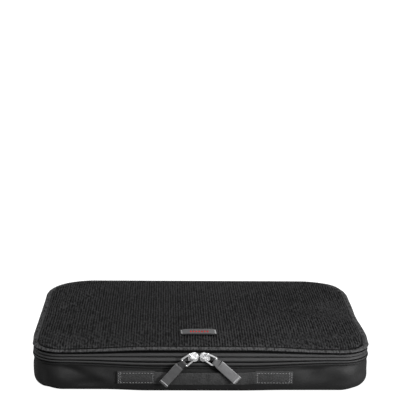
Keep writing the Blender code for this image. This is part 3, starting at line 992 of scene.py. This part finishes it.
def make_strap(trims, colours):
    """The webbing handle, doubled under at both ends."""
    half = trims.strap_width / 2
    low = STRAP_X - STRAP_HALF
    high = STRAP_X + STRAP_HALF
    bm = closed_up(ribbon(low, high, 0, half, 190))
    # Painted shade: the strap's top and bottom edges take a darker cloth, for the shadow lines along them.
    paint_shade_rows(bm, STRAP_GIRTH, ((0.083, 0.34), (0.50, 0.75)))
    for start, end in ((low + 0.0004, low + PATCH_LENGTH), (high - PATCH_LENGTH, high - 0.0004)):
        under = closed_up(ribbon(start, end, 1, half + 0.0005, 40))
        mesh = bpy.data.meshes.new("under")
        under.to_mesh(mesh)
        under.free()
        bm.from_mesh(mesh)
        bpy.data.meshes.remove(mesh)
    webbing = webbing_skin(colours)
    # The darker cloth of the painted shade along the strap's edges.
    dark = [part * WEB_EDGE_PAINTED_SHADE for part in colours.webbing]
    edge = woven("webbing_painted_shade", dark, *EDGE_WEAVE, specular=0.1)
    piece("handle_strap", bm, [webbing, edge], "tray", ["handle_web"], sharp=70)


def webbing_skin(colours):
    """Heavy webbing: short thick weft bars broken up by the warp."""
    made = skin("handle_webbing", colours.webbing, 0.60, sheen=0.03, specular=0.3)
    wiring = Wiring(made)
    bars = wiring.wave("UV", 620.0, "X")
    pebble = wiring.noise("Object", 640.0, detail=2.0)
    cloth = wiring.sums("ADD", wiring.sums("MULTIPLY", bars, 0.25), wiring.span(pebble, 0.0, 0.75, 0.3, 0.7))
    cloud = wiring.noise("Object", 120.0)
    mixed = wiring.sums("ADD", wiring.sums("MULTIPLY", cloth, 0.5), wiring.sums("MULTIPLY", cloud, 0.5))
    wiring.shade(mixed, colours.webbing, 0.25, 2.1)
    wiring.rough(wiring.span(cloud, 0.58, 0.76, 0.3, 0.7))
    wiring.bump(cloth, 0.00030)
    return made


STITCH_PITCH = 0.0039
STITCH_ROW = 0.0064
BAR_PITCH = 0.0024


def patch_stitches(side):
    """The sewn box on one end of the strap: two rows, a zigzag outside and a bar inside."""
    centre = STRAP_X + side * (STRAP_HALF - 0.0247)
    outward = Vector((0, -1, 0))
    places = []
    for up in (-STITCH_ROW, STITCH_ROW):
        for step in range(11):
            places.append((centre + (step - 5) * STITCH_PITCH, up, Vector((1, 0, 0))))
    for step in range(6):
        up = (step - 2.5) * BAR_PITCH
        places.append((centre + side * 0.0226, up, Vector((0.8, 0, 1)).normalized()))
        places.append((centre + side * 0.0204, up + BAR_PITCH / 2, Vector((-0.8, 0, 1)).normalized()))
        places.append((centre - side * 0.0218, up, Vector((0.3 * (-1) ** step, 0, 1)).normalized()))
    made = []
    for x, up, way in places:
        face, middle = strap_line(x)
        made.append((Vector((x, face - 0.00010, middle + up)), way, outward))
    return made


LABEL_TURN = math.radians(1.5)
LABEL_HALF = (0.0240, 0.0106)
LABEL_EDGE = 0.0007
LABEL_ROUND = 0.0050
LABEL_BOW = 0.0016
MOTIF_PITCH = 0.0037
MOTIF_HALF = (0.0017, 0.0050, 0.00040)


def make_label(cloth, colours):
    """The padded woven label, its motif and the tacks at its ends."""
    low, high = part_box("label_patch")
    centre = (low + high) / 2
    half_x, half_y = LABEL_HALF

    def on_panel(across, along):
        x = centre.x + across * math.cos(LABEL_TURN) - along * math.sin(LABEL_TURN)
        y = centre.y + across * math.sin(LABEL_TURN) + along * math.cos(LABEL_TURN)
        return Vector((x, y, panel_height(x, y, cloth.crown) + cloth.rib_height + 0.0001))

    def place(across, along):
        turned = along * 4
        top = turned < 2
        share = (turned - 1) if top else (3 - turned)
        reach = 2 * across - 1
        over = max(abs(reach) * half_x - half_x + LABEL_ROUND, 0)
        deep = half_y - LABEL_ROUND + math.sqrt(max(LABEL_ROUND**2 - over**2, 0))
        thick = LABEL_EDGE * (1 - abs(share) ** 8) * (1 - abs(reach) ** 20)
        bow = LABEL_BOW * (1 - abs(reach) ** 6) * (1 - 0.4 * share**2)
        point = on_panel(reach * half_x, share * deep)
        return point + Vector((0, 0, LABEL_EDGE + bow + (thick if top else -thick)))

    bm = closed_up(wrapped(*LABEL_CELLS, place, (2 * half_x, 4 * half_y)))
    # Painted shade along the label's front and back edges, for the shadow under its rim.
    paint_shade_rows(bm, 4 * half_y, ((-0.01, 0.04), (0.46, 0.54), (0.96, 1.01)))
    dark = [part * LABEL_RIM_PAINTED_SHADE for part in colours.label]
    painted_rim_shade = woven("label_rim_painted_shade", dark, *LABEL_WEAVE, specular=0.1)
    satin = woven("label_satin", colours.label, *LABEL_WEAVE, roughness=0.5, sheen=0.02, mottle=0.12)
    piece("woven_label", bm, [satin, painted_rim_shade], "lid", ["label_patch"])
    make_motif(place, colours)
    for side, name in SIDES:
        places = []
        for step in range(7):
            middle = place(0.5 + side * 0.462, 0.25 + (step - 3) * 0.055)
            places.append((middle, Vector((1, 0.25 * side, 0)), Vector((0, 0, 1))))
        bm = stitches(places, 0.0030, 0.00055)
        node = f"label_stitching_{name}"
        piece(f"label_tacks_{name}", bm, [thread_skin(colours)], "lid", [node])


def make_motif(place, colours):
    """A row of small diamonds woven into the middle of the label."""
    bm = bmesh.new()
    for step in range(7):
        middle = place(0.52 + (step - 3) * MOTIF_PITCH / (2 * LABEL_HALF[0]), 0.19)
        size = Matrix.Diagonal((*MOTIF_HALF, 1))
        bmesh.ops.create_uvsphere(
            bm, u_segments=4, v_segments=3, radius=1, matrix=Matrix.Translation(middle) @ size
        )
    bmesh.ops.recalc_face_normals(bm, faces=bm.faces)
    made = skin("motif_thread", colours.motif, 0.55, specular=0.1)
    wiring = Wiring(made)
    wiring.shade(wiring.noise("Object", 2500.0), colours.motif, 0.75, 1.25)
    piece("label_diamonds", bm, [made], "lid")


# ---------------------------------------------------------------- sliders and pulls


def shield(nose, tail, length, side):
    """A slider plate's outline as one face, wide and round at the nose, in the plane of the front wall."""
    bm = bmesh.new()
    turn = Matrix.Rotation(math.radians(90), 4, "X")
    bmesh.ops.create_grid(bm, x_segments=1, y_segments=1, size=1, matrix=turn)
    for vert in bm.verts:
        at_nose = vert.co.x * side < 0
        vert.co.x *= length / 2
        vert.co.z *= (nose if at_nose else tail) / 2
    rear = [vert for vert in bm.verts if vert.co.x * side > 0]
    front = [vert for vert in bm.verts if vert.co.x * side < 0]
    rounded(bm, rear, tail * 0.24, 6, "VERTICES")
    rounded(bm, front, nose * 0.44, 14, "VERTICES")
    return bm


def plate(side, nose, tail, length, front_y, back_y, edge):
    """A slider plate between two depths, with its outer edge rounded."""
    bm = shield(nose, tail, length, side)
    bmesh.ops.translate(bm, verts=bm.verts, vec=(0, back_y, 0))
    made = bmesh.ops.extrude_face_region(bm, geom=list(bm.faces))["geom"]
    verts = [item for item in made if isinstance(item, bmesh.types.BMVert)]
    bmesh.ops.translate(bm, verts=verts, vec=(0, front_y - back_y, 0))
    bmesh.ops.recalc_face_normals(bm, faces=bm.faces)
    outer = [edge for edge in bm.edges if all(vert in verts for vert in edge.verts)]
    return rounded(bm, outer, edge, 4)


def merged(parts, shift):
    """Several meshes gathered into one, moved to their place."""
    bm = bmesh.new()
    for part in parts:
        mesh = bpy.data.meshes.new("part")
        part.to_mesh(mesh)
        part.free()
        bm.from_mesh(mesh)
        bpy.data.meshes.remove(mesh)
    bmesh.ops.translate(bm, verts=bm.verts, vec=shift)
    bmesh.ops.recalc_face_normals(bm, faces=bm.faces)
    return bm


def arch(half, rise, width, thick, base_y):
    """The slider's crown: a strip bent over from end to end, its feet let into the plate."""
    section = []
    for step in range(12):
        turn = math.tau * step / 12
        out = math.copysign(abs(math.sin(turn)) ** 0.6, math.sin(turn))
        wide = math.copysign(abs(math.cos(turn)) ** 0.6, math.cos(turn))
        section.append((wide * width / 2, out * thick / 2))

    def place(across, along):
        turn = math.pi * across
        up, out = section[round(along * 12) % 12]
        bend_x = math.copysign(abs(math.cos(turn)) ** 0.62, math.cos(turn))
        bend_y = abs(math.sin(turn)) ** 0.62
        spread = 1 + 0.10 * abs(bend_x) ** 3
        x = -bend_x * (half + out * abs(bend_x))
        return Vector((x, base_y - bend_y * (rise + out), up * spread))

    return closed_up(wrapped(28, 12, place))


# Slider plates: height at the nose, at the tail, length, depth of front and back, rounding.
OUTER_PLATE = (0.0150, 0.0088, 0.0138, -0.1599, -0.15842, 0.0007)
RAISED_PLATE = (0.0118, 0.0062, 0.0106, -0.1603, -0.1597, 0.0003)
INNER_PLATE = (0.0104, 0.0070, 0.0124, -0.15360, -0.15250, 0.0003)
NECK = ((-0.0040, -0.1590, -0.0003), (0.0040, -0.1530, 0.0003))
LOW_RIM = ((-0.0040, -0.15925, -0.00045), (0.0055, -0.15870, 0.00045))
CROWN = (0.0045, 0.0046, 0.0024, 0.0010, -0.1600)


def make_slider(name, side):
    """One slider: shield-shaped outer plate, neck in the zip's split, inner plate and crown."""
    low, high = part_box(f"slider_crown_{name}")
    shift = Vector(((low.x + high.x) / 2, 0, SPLIT_Z))
    plates = [plate(side, *sizes) for sizes in (OUTER_PLATE, RAISED_PLATE, INNER_PLATE)]
    bm = merged([*plates, block(*NECK), block(*LOW_RIM)], shift)
    chrome = chrome_skin()
    piece(f"slider_{name}", bm, [chrome], f"slider_{name}", [f"slider_body_{name}"], sharp=40)
    crown = merged([arch(*CROWN)], shift)
    piece(f"crown_{name}", crown, [chrome], f"slider_{name}", [f"slider_crown_{name}"], sharp=60)


def pull_frame(side, drop):
    """Turns u along the pull, v along the ring's bars and n outwards into world directions."""
    along = Vector((side * math.cos(drop), 0, -math.sin(drop)))
    outward = Vector((0, -1, 0))
    return Matrix((along, outward.cross(along), outward)).transposed().to_4x4()


def ring_line(share, length, near, far, bend):
    """A point on the ring's centre line: near bar, arm, far bar and arm, with rounded corners."""
    corners = (
        Vector((0, -near, 0)),
        Vector((length, -far, 0)),
        Vector((length, far, 0)),
        Vector((0, near, 0)),
    )
    place = (share % 1) * 4
    index = int(place)
    t = place - index
    before = corners[index]
    at = corners[(index + 1) % 4]
    after = corners[(index + 2) % 4]
    start = before + (at - before).normalized() * bend
    stop = at - (at - before).normalized() * bend
    leave = at + (after - at).normalized() * bend
    if t < 0.5:
        return start.lerp(stop, t * 2)
    turn = (t - 0.5) * 2
    return stop.lerp(at, turn).lerp(at.lerp(leave, turn), turn)


# The ring's length, half widths at its near and far bars, corner bend, and how far each one hangs down.
RING_SIZES = (0.0135, 0.0046, 0.0056, 0.0015)
RING_DROP = {"left": math.radians(38), "right": math.radians(31)}


def make_ring(name, side, trims):
    """One wire ring. Gives back the middle of its far bar and the way the pull hangs."""
    far = [item for item in frame["joints"] if item["name"] == f"tab_{name}_lift"][0]
    bar = Vector(far["pos_m"])
    turn = pull_frame(side, RING_DROP[name])
    near = bar - turn.to_3x3() @ Vector((RING_SIZES[0], 0, 0))
    wire = trims.wire
    stations = 96

    def place(across, along):
        here = ring_line(across, *RING_SIZES)
        ahead = ring_line(across + 0.004, *RING_SIZES)
        behind = ring_line(across - 0.004, *RING_SIZES)
        way = (ahead - behind).normalized()
        out = Vector((0, 0, 1))
        sideways = way.cross(out)
        around = along * math.tau
        return here + (sideways * math.cos(around) + out * math.sin(around)) * wire

    bm = closed_up(wrapped(stations, 12, place))
    bmesh.ops.transform(bm, matrix=Matrix.Translation(near) @ turn, verts=bm.verts)
    piece(f"ring_{name}", bm, [chrome_skin()], f"ring_{name}", [f"pull_ring_{name}"])
    return bar, turn


TAB_LEAN = math.radians(-5)
TAB_SKEW = math.radians(10)
TAB_START = 0.0070
# Painted light and shade: how much lighter each pull's leathercloth is painted as lit, how much darker its
# loop is painted, and the painted highlight on the tab's edges.
TAB_PAINTED_LIGHT = {"left": 1.25, "right": 2.7}
LOOP_PAINTED_SHADE = {"left": 0.6, "right": 0.8}
EDGE_PAINTED_HIGHLIGHT = 3.0


def make_tab(name, side, bar, turn, trims, colours):
    """The strap loop round the ring's far bar and the flat tab sewn to it."""
    lean = Matrix.Rotation(TAB_LEAN, 4, "Y")
    place = Matrix.Translation(bar) @ turn @ lean
    # Painted light: this pull's leathercloth is painted lighter or darker for how it is lit, its loop a
    # darker painted-shade copy and its edges a painted highlight.
    light = TAB_PAINTED_LIGHT[name]
    hide = leather_skin(f"leathercloth_{name}", colours.tab, light)
    edge = leather_skin(f"edge_painted_highlight_{name}", colours.tab, light * EDGE_PAINTED_HIGHLIGHT)
    dark = leather_skin(f"loop_leather_{name}", colours.tab, light * LOOP_PAINTED_SHADE[name])
    collar = collar_shape()
    bmesh.ops.transform(collar, matrix=place, verts=collar.verts)
    body = f"tab_{name}"
    piece(f"pull_loop_{name}_leather", collar, [dark], body, [f"pull_loop_{name}"], sharp=50)
    skew = Matrix.Rotation(-side * TAB_SKEW, 4, "Z")
    start = Matrix.Translation((TAB_START, 0, 0))
    bm = tab_shape(trims)
    frame_turn = place @ start @ skew
    bmesh.ops.transform(bm, matrix=frame_turn, verts=bm.verts)
    piece(f"pull_tab_{name}_leather", bm, [hide, edge], body, [f"pull_tab_{name}"], sharp=40)
    places = []
    outward = (frame_turn.to_3x3() @ Vector((0, 0, 1))).normalized()
    across = (frame_turn.to_3x3() @ Vector((0, 1, 0))).normalized()
    for step in range(5):
        where = frame_turn @ Vector((0.0016, (step - 2) * 0.0021, 0.00115))
        places.append((where, across, outward))
    bm = stitches(places, 0.0016, 0.00020)
    piece(f"tab_stitches_{name}", bm, [thread_skin(colours)], body)


LOOP_RADIUS = 0.0022
LOOP_UNDER = ((0.0020, -0.0019), (0.0036, -0.0013), (0.0066, -0.0011))


def collar_shape():
    """A folded strip, narrow where it goes round the bar and wider where it meets the tab."""
    outline = []
    for step in range(11):
        turn = math.pi / 2 + math.pi * step / 10
        outline.append((LOOP_RADIUS * math.cos(turn), LOOP_RADIUS * math.sin(turn)))
    over = [(inset, -height) for inset, height in reversed(LOOP_UNDER)]
    section = outline + list(LOOP_UNDER) + over

    def place(across, along):
        u, out = section[round(along * len(section)) % len(section)]
        half = 0.0034 + 0.0020 * smooth_step(u / LOOP_UNDER[-1][0])
        return Vector((u, (2 * across - 1) * half, out))

    bm = closed_up(wrapped(10, len(section), place))
    ends = [face for face in bm.faces if len(face.verts) > 6]
    bmesh.ops.inset_individual(bm, faces=ends, thickness=0.0007, use_even_offset=True)
    return bm


TAB_LENGTH = 0.0325
TAB_HALF_THICK = 0.0011
TAB_CUTS = (0.0008, 0.0292, 0.0297, 0.0303, 0.0308)
TAB_GROOVE = 0.72
TAB_ROUND = 0.0008


def tab_shape(trims):
    """A flat tab with rounded edges, a groove near its end and edge faces that take the painted highlight."""
    half = trims.tab_width / 2
    bm = block((0, -half, -TAB_HALF_THICK), (TAB_LENGTH, half, TAB_HALF_THICK))
    for cut in TAB_CUTS:
        geometry = list(bm.verts) + list(bm.edges) + list(bm.faces)
        bmesh.ops.bisect_plane(bm, geom=geometry, plane_co=(cut, 0, 0), plane_no=(1, 0, 0))
    for vert in bm.verts:
        if TAB_CUTS[1] + TAB_ROUND / 4 < vert.co.x < TAB_CUTS[4] - TAB_ROUND / 4:
            vert.co.z *= TAB_GROOVE
    ends = [edge for edge in bm.edges if len(edge.link_faces) == 2 and edge.calc_face_angle() > 1.3]
    rounded(bm, ends, TAB_ROUND, 3)
    # Faces that face sideways get the painted highlight of the edges.
    for face in bm.faces:
        face.material_index = 0 if abs(face.normal.z) > 0.60 else 1
    return bm


# ---------------------------------------------------------------- stage


AIM = (0, -0.1, 0.03)
# Far softboxes: where from, spread in degrees, strength. Near ones: where, size, power.
FAR_LIGHTS = {
    "top_softbox": ((-0.1, -0.6, 2.0), 40, 3.0),
    "back_softbox": ((-1.8, 1.2, 1.0), 40, 0.5),
}
NEAR_LIGHTS = {
    "right_softbox": ((0.95, -0.80, 0.30), 0.40, 17.0),
    "front_softbox": ((0.25, -1.50, 1.60), 1.0, 4.5),
}
FLOOR_COLOUR = (0.22, 0.22, 0.22)
AIR_LIGHT = 0.08
CAMERA_PLACE = (-0.0502, -1.6471, 0.5739)
CAMERA_YAW = 0.0300273
CAMERA_PITCH = 0.2098241
CAMERA_ROLL = 0.0127038
CAMERA_LENS = 109.19


def soft_light(name, place, spread, strength):
    """A wide, far softbox: place is the direction it shines from."""
    lamp = bpy.data.lights.new(name, "SUN")
    lamp.angle = math.radians(spread)
    lamp.energy = strength
    obj = bpy.data.objects.new(name, lamp)
    obj.location = place
    obj.rotation_euler = Vector(place).to_track_quat("Z", "Y").to_euler()
    bpy.context.scene.collection.objects.link(obj)


def near_light(name, place, size, power):
    """A square softbox close to the case, whose light falls off along it."""
    lamp = bpy.data.lights.new(name, "AREA")
    lamp.size = size
    lamp.energy = power
    obj = bpy.data.objects.new(name, lamp)
    obj.location = place
    obj.rotation_euler = (Vector(place) - Vector(AIM)).to_track_quat("Z", "Y").to_euler()
    bpy.context.scene.collection.objects.link(obj)


def make_floor():
    """White paper under the case, which looks white and throws little light back."""
    bm = bmesh.new()
    bmesh.ops.create_grid(bm, x_segments=1, y_segments=1, size=40)
    bmesh.ops.translate(bm, verts=bm.verts, vec=(0, 0, -0.0003))
    mesh = bpy.data.meshes.new("studio_floor")
    bm.to_mesh(mesh)
    bm.free()
    floor = bpy.data.objects.new("studio_floor", mesh)
    bpy.context.scene.collection.objects.link(floor)
    paper = skin("white_paper", FLOOR_COLOUR, 0.9, specular=0.0)
    nodes = paper.node_tree.nodes
    seen = nodes.new("ShaderNodeLightPath")
    glow = nodes.new("ShaderNodeMapRange")
    glow.inputs["To Min"].default_value = 0.0
    glow.inputs["To Max"].default_value = 1.0
    nodes["Principled BSDF"].inputs["Emission Color"].default_value = (1, 1, 1, 1)
    paper.node_tree.links.new(seen.outputs["Is Camera Ray"], glow.inputs["Value"])
    paper.node_tree.links.new(glow.outputs["Result"], nodes["Principled BSDF"].inputs["Emission Strength"])
    mesh.materials.append(paper)


def make_world():
    """White air behind the case and a faint even light on it."""
    world = bpy.data.worlds.new("studio_air")
    world.use_nodes = True
    nodes = world.node_tree.nodes
    background = nodes["Background"]
    background.inputs["Color"].default_value = (1, 1, 1, 1)
    seen = nodes.new("ShaderNodeLightPath")
    strength = nodes.new("ShaderNodeMapRange")
    strength.inputs["To Min"].default_value = AIR_LIGHT
    strength.inputs["To Max"].default_value = 1.0
    world.node_tree.links.new(seen.outputs["Is Camera Ray"], strength.inputs["Value"])
    world.node_tree.links.new(strength.outputs["Result"], background.inputs["Strength"])
    bpy.context.scene.world = world


def make_camera():
    """A long lens in front of the case, a little left of its middle and 12 degrees up."""
    flat = math.cos(CAMERA_PITCH)
    forward = Vector((math.sin(CAMERA_YAW) * flat, math.cos(CAMERA_YAW) * flat, -math.sin(CAMERA_PITCH)))
    right = Vector((math.cos(CAMERA_YAW), -math.sin(CAMERA_YAW), 0))
    up = right.cross(forward)
    across = right * math.cos(CAMERA_ROLL) + up * math.sin(CAMERA_ROLL)
    above = up * math.cos(CAMERA_ROLL) - right * math.sin(CAMERA_ROLL)
    lens = bpy.data.cameras.new("camera")
    lens.sensor_width = 36
    lens.lens = CAMERA_LENS
    lens.clip_end = 100
    camera = bpy.data.objects.new("camera", lens)
    turn = Matrix((across, above, -forward)).transposed().to_4x4()
    camera.matrix_world = Matrix.Translation(CAMERA_PLACE) @ turn
    bpy.context.scene.collection.objects.link(camera)
    bpy.context.scene.camera = camera
    bpy.context.scene.view_settings.view_transform = "Standard"


# ---------------------------------------------------------------- operators


class CUBE_OT_tray(bpy.types.Operator):
    """Sews the tray: wall, base and the binding over their seam"""

    bl_idname = "cube.tray"
    bl_label = "Tray cloth"

    def execute(self, context):
        scene = context.scene
        make_wall(scene.cube_cloth, scene.cube_colours)
        make_base(scene.cube_cloth, scene.cube_colours)
        make_binding("foot_binding", FOOT_BINDING, "tray", "base_seam_binding", scene.cube_colours)
        return {"FINISHED"}


class CUBE_OT_lid(bpy.types.Operator):
    """Stretches the ribbed mesh panel over the lid"""

    bl_idname = "cube.lid"
    bl_label = "Mesh lid"

    def execute(self, context):
        make_panel(context.scene.cube_cloth, context.scene.cube_colours)
        return {"FINISHED"}


class CUBE_OT_piping(bpy.types.Operator):
    """Runs the piping and its bindings round lid and tray"""

    bl_idname = "cube.piping"
    bl_label = "Piping and bindings"

    def execute(self, context):
        scene = context.scene
        cloth = scene.cube_cloth
        colours = scene.cube_colours
        net = ribbed_mesh_skin("wrapped_mesh", colours.piping, cloth.rib_pitch, 0.25)
        plain = woven("piping_cloth", colours.piping, *PIPING_WEAVE, roughness=0.6, sheen=0.03)
        wide = (LID_PIPING_HALF, cloth.lid_piping)
        narrow = (cloth.tray_piping, cloth.tray_piping)
        make_piping("lid_piping", LID_PIPING_Z, wide, 0.00010, "lid", "lid_welt", net)
        make_piping("tray_piping", TRAY_PIPING_Z, narrow, 0, "tray", "tray_welt", plain)
        make_binding("lid_binding", LID_BINDING, "lid", "lid_seam_binding", colours)
        make_binding("tray_binding", TRAY_BINDING, "tray", "tray_seam_binding", colours)
        return {"FINISHED"}


class CUBE_OT_zip(bpy.types.Operator):
    """Sets in the zip: two tapes and their coils"""

    bl_idname = "cube.zip"
    bl_label = "Zip"

    def execute(self, context):
        scene = context.scene
        trims = scene.cube_trims
        colours = scene.cube_colours
        make_tape("upper_tape", UPPER_TAPE, ((0.40, 0.62),), "lid", "upper_zip_tape", colours)
        make_tape("lower_tape", LOWER_TAPE, ((0.0, 0.15), (0.50, 0.62)), "tray", "lower_zip_tape", colours)
        make_coil("upper_coil", SPLIT_Z + COIL_RISE, "lid", "upper_zip_coil", trims, colours)
        make_coil("lower_coil", SPLIT_Z - COIL_RISE, "tray", "lower_zip_coil", trims, colours)
        return {"FINISHED"}


class CUBE_OT_hinge(bpy.types.Operator):
    """Sews the cloth strip that hinges the lid along the back"""

    bl_idname = "cube.hinge"
    bl_label = "Back strip"

    def execute(self, context):
        make_hinge_cloth(context.scene.cube_colours)
        return {"FINISHED"}


class CUBE_OT_handle(bpy.types.Operator):
    """Sews the webbing handle to the front wall"""

    bl_idname = "cube.handle"
    bl_label = "Handle"

    def execute(self, context):
        scene = context.scene
        make_strap(scene.cube_trims, scene.cube_colours)
        for side, name in SIDES:
            bm = stitches(patch_stitches(side), 0.0022, 0.00032)
            node = f"handle_stitching_{name}"
            piece(f"strap_stitches_{name}", bm, [thread_skin(scene.cube_colours)], "tray", [node])
        return {"FINISHED"}


class CUBE_OT_label(bpy.types.Operator):
    """Tacks the woven label to the mesh"""

    bl_idname = "cube.label"
    bl_label = "Label"

    def execute(self, context):
        scene = context.scene
        make_label(scene.cube_cloth, scene.cube_colours)
        return {"FINISHED"}


class CUBE_OT_pulls(bpy.types.Operator):
    """Fits both sliders with their crowns, rings, loops and tabs"""

    bl_idname = "cube.pulls"
    bl_label = "Sliders and pulls"

    def execute(self, context):
        scene = context.scene
        for side, name in SIDES:
            make_slider(name, side)
            bar, turn = make_ring(name, side, scene.cube_trims)
            make_tab(name, side, bar, turn, scene.cube_trims, scene.cube_colours)
        return {"FINISHED"}


class CUBE_OT_stage(bpy.types.Operator):
    """Sets the white floor, the soft lights and the camera"""

    bl_idname = "cube.stage"
    bl_label = "Stage"

    def execute(self, context):
        make_floor()
        make_world()
        for name, settings in FAR_LIGHTS.items():
            soft_light(name, *settings)
        for name, settings in NEAR_LIGHTS.items():
            near_light(name, *settings)
        make_camera()
        return {"FINISHED"}


class CUBE_PT_panel(bpy.types.Panel):
    """Lists the packing cube's pieces and their sizes."""

    bl_idname = "CUBE_PT_panel"
    bl_label = "Packing cube"
    bl_space_type = "VIEW_3D"
    bl_region_type = "UI"
    bl_category = "Packing cube"

    def draw(self, context):
        scene = context.scene
        for operator in OPERATORS:
            self.layout.operator(operator.bl_idname)
        for group in (scene.cube_cloth, scene.cube_trims, scene.cube_colours):
            column = self.layout.column()
            for name in group.__annotations__:
                column.prop(group, name)


OPERATORS = (
    CUBE_OT_stage,
    CUBE_OT_tray,
    CUBE_OT_lid,
    CUBE_OT_piping,
    CUBE_OT_zip,
    CUBE_OT_hinge,
    CUBE_OT_handle,
    CUBE_OT_label,
    CUBE_OT_pulls,
)
CLASSES = (CUBE_PG_cloth, CUBE_PG_trims, CUBE_PG_colours, *OPERATORS, CUBE_PT_panel)


def register():
    for cls in CLASSES:
        bpy.utils.register_class(cls)
    bpy.types.Scene.cube_cloth = PointerProperty(type=CUBE_PG_cloth)
    bpy.types.Scene.cube_trims = PointerProperty(type=CUBE_PG_trims)
    bpy.types.Scene.cube_colours = PointerProperty(type=CUBE_PG_colours)


def unregister():
    del bpy.types.Scene.cube_colours
    del bpy.types.Scene.cube_trims
    del bpy.types.Scene.cube_cloth
    for cls in reversed(CLASSES):
        bpy.utils.unregister_class(cls)


def main():
    register()
    for operator in OPERATORS:
        getattr(bpy.ops.cube, operator.bl_idname.split(".")[1])()


if __name__ == "__main__":
    main()
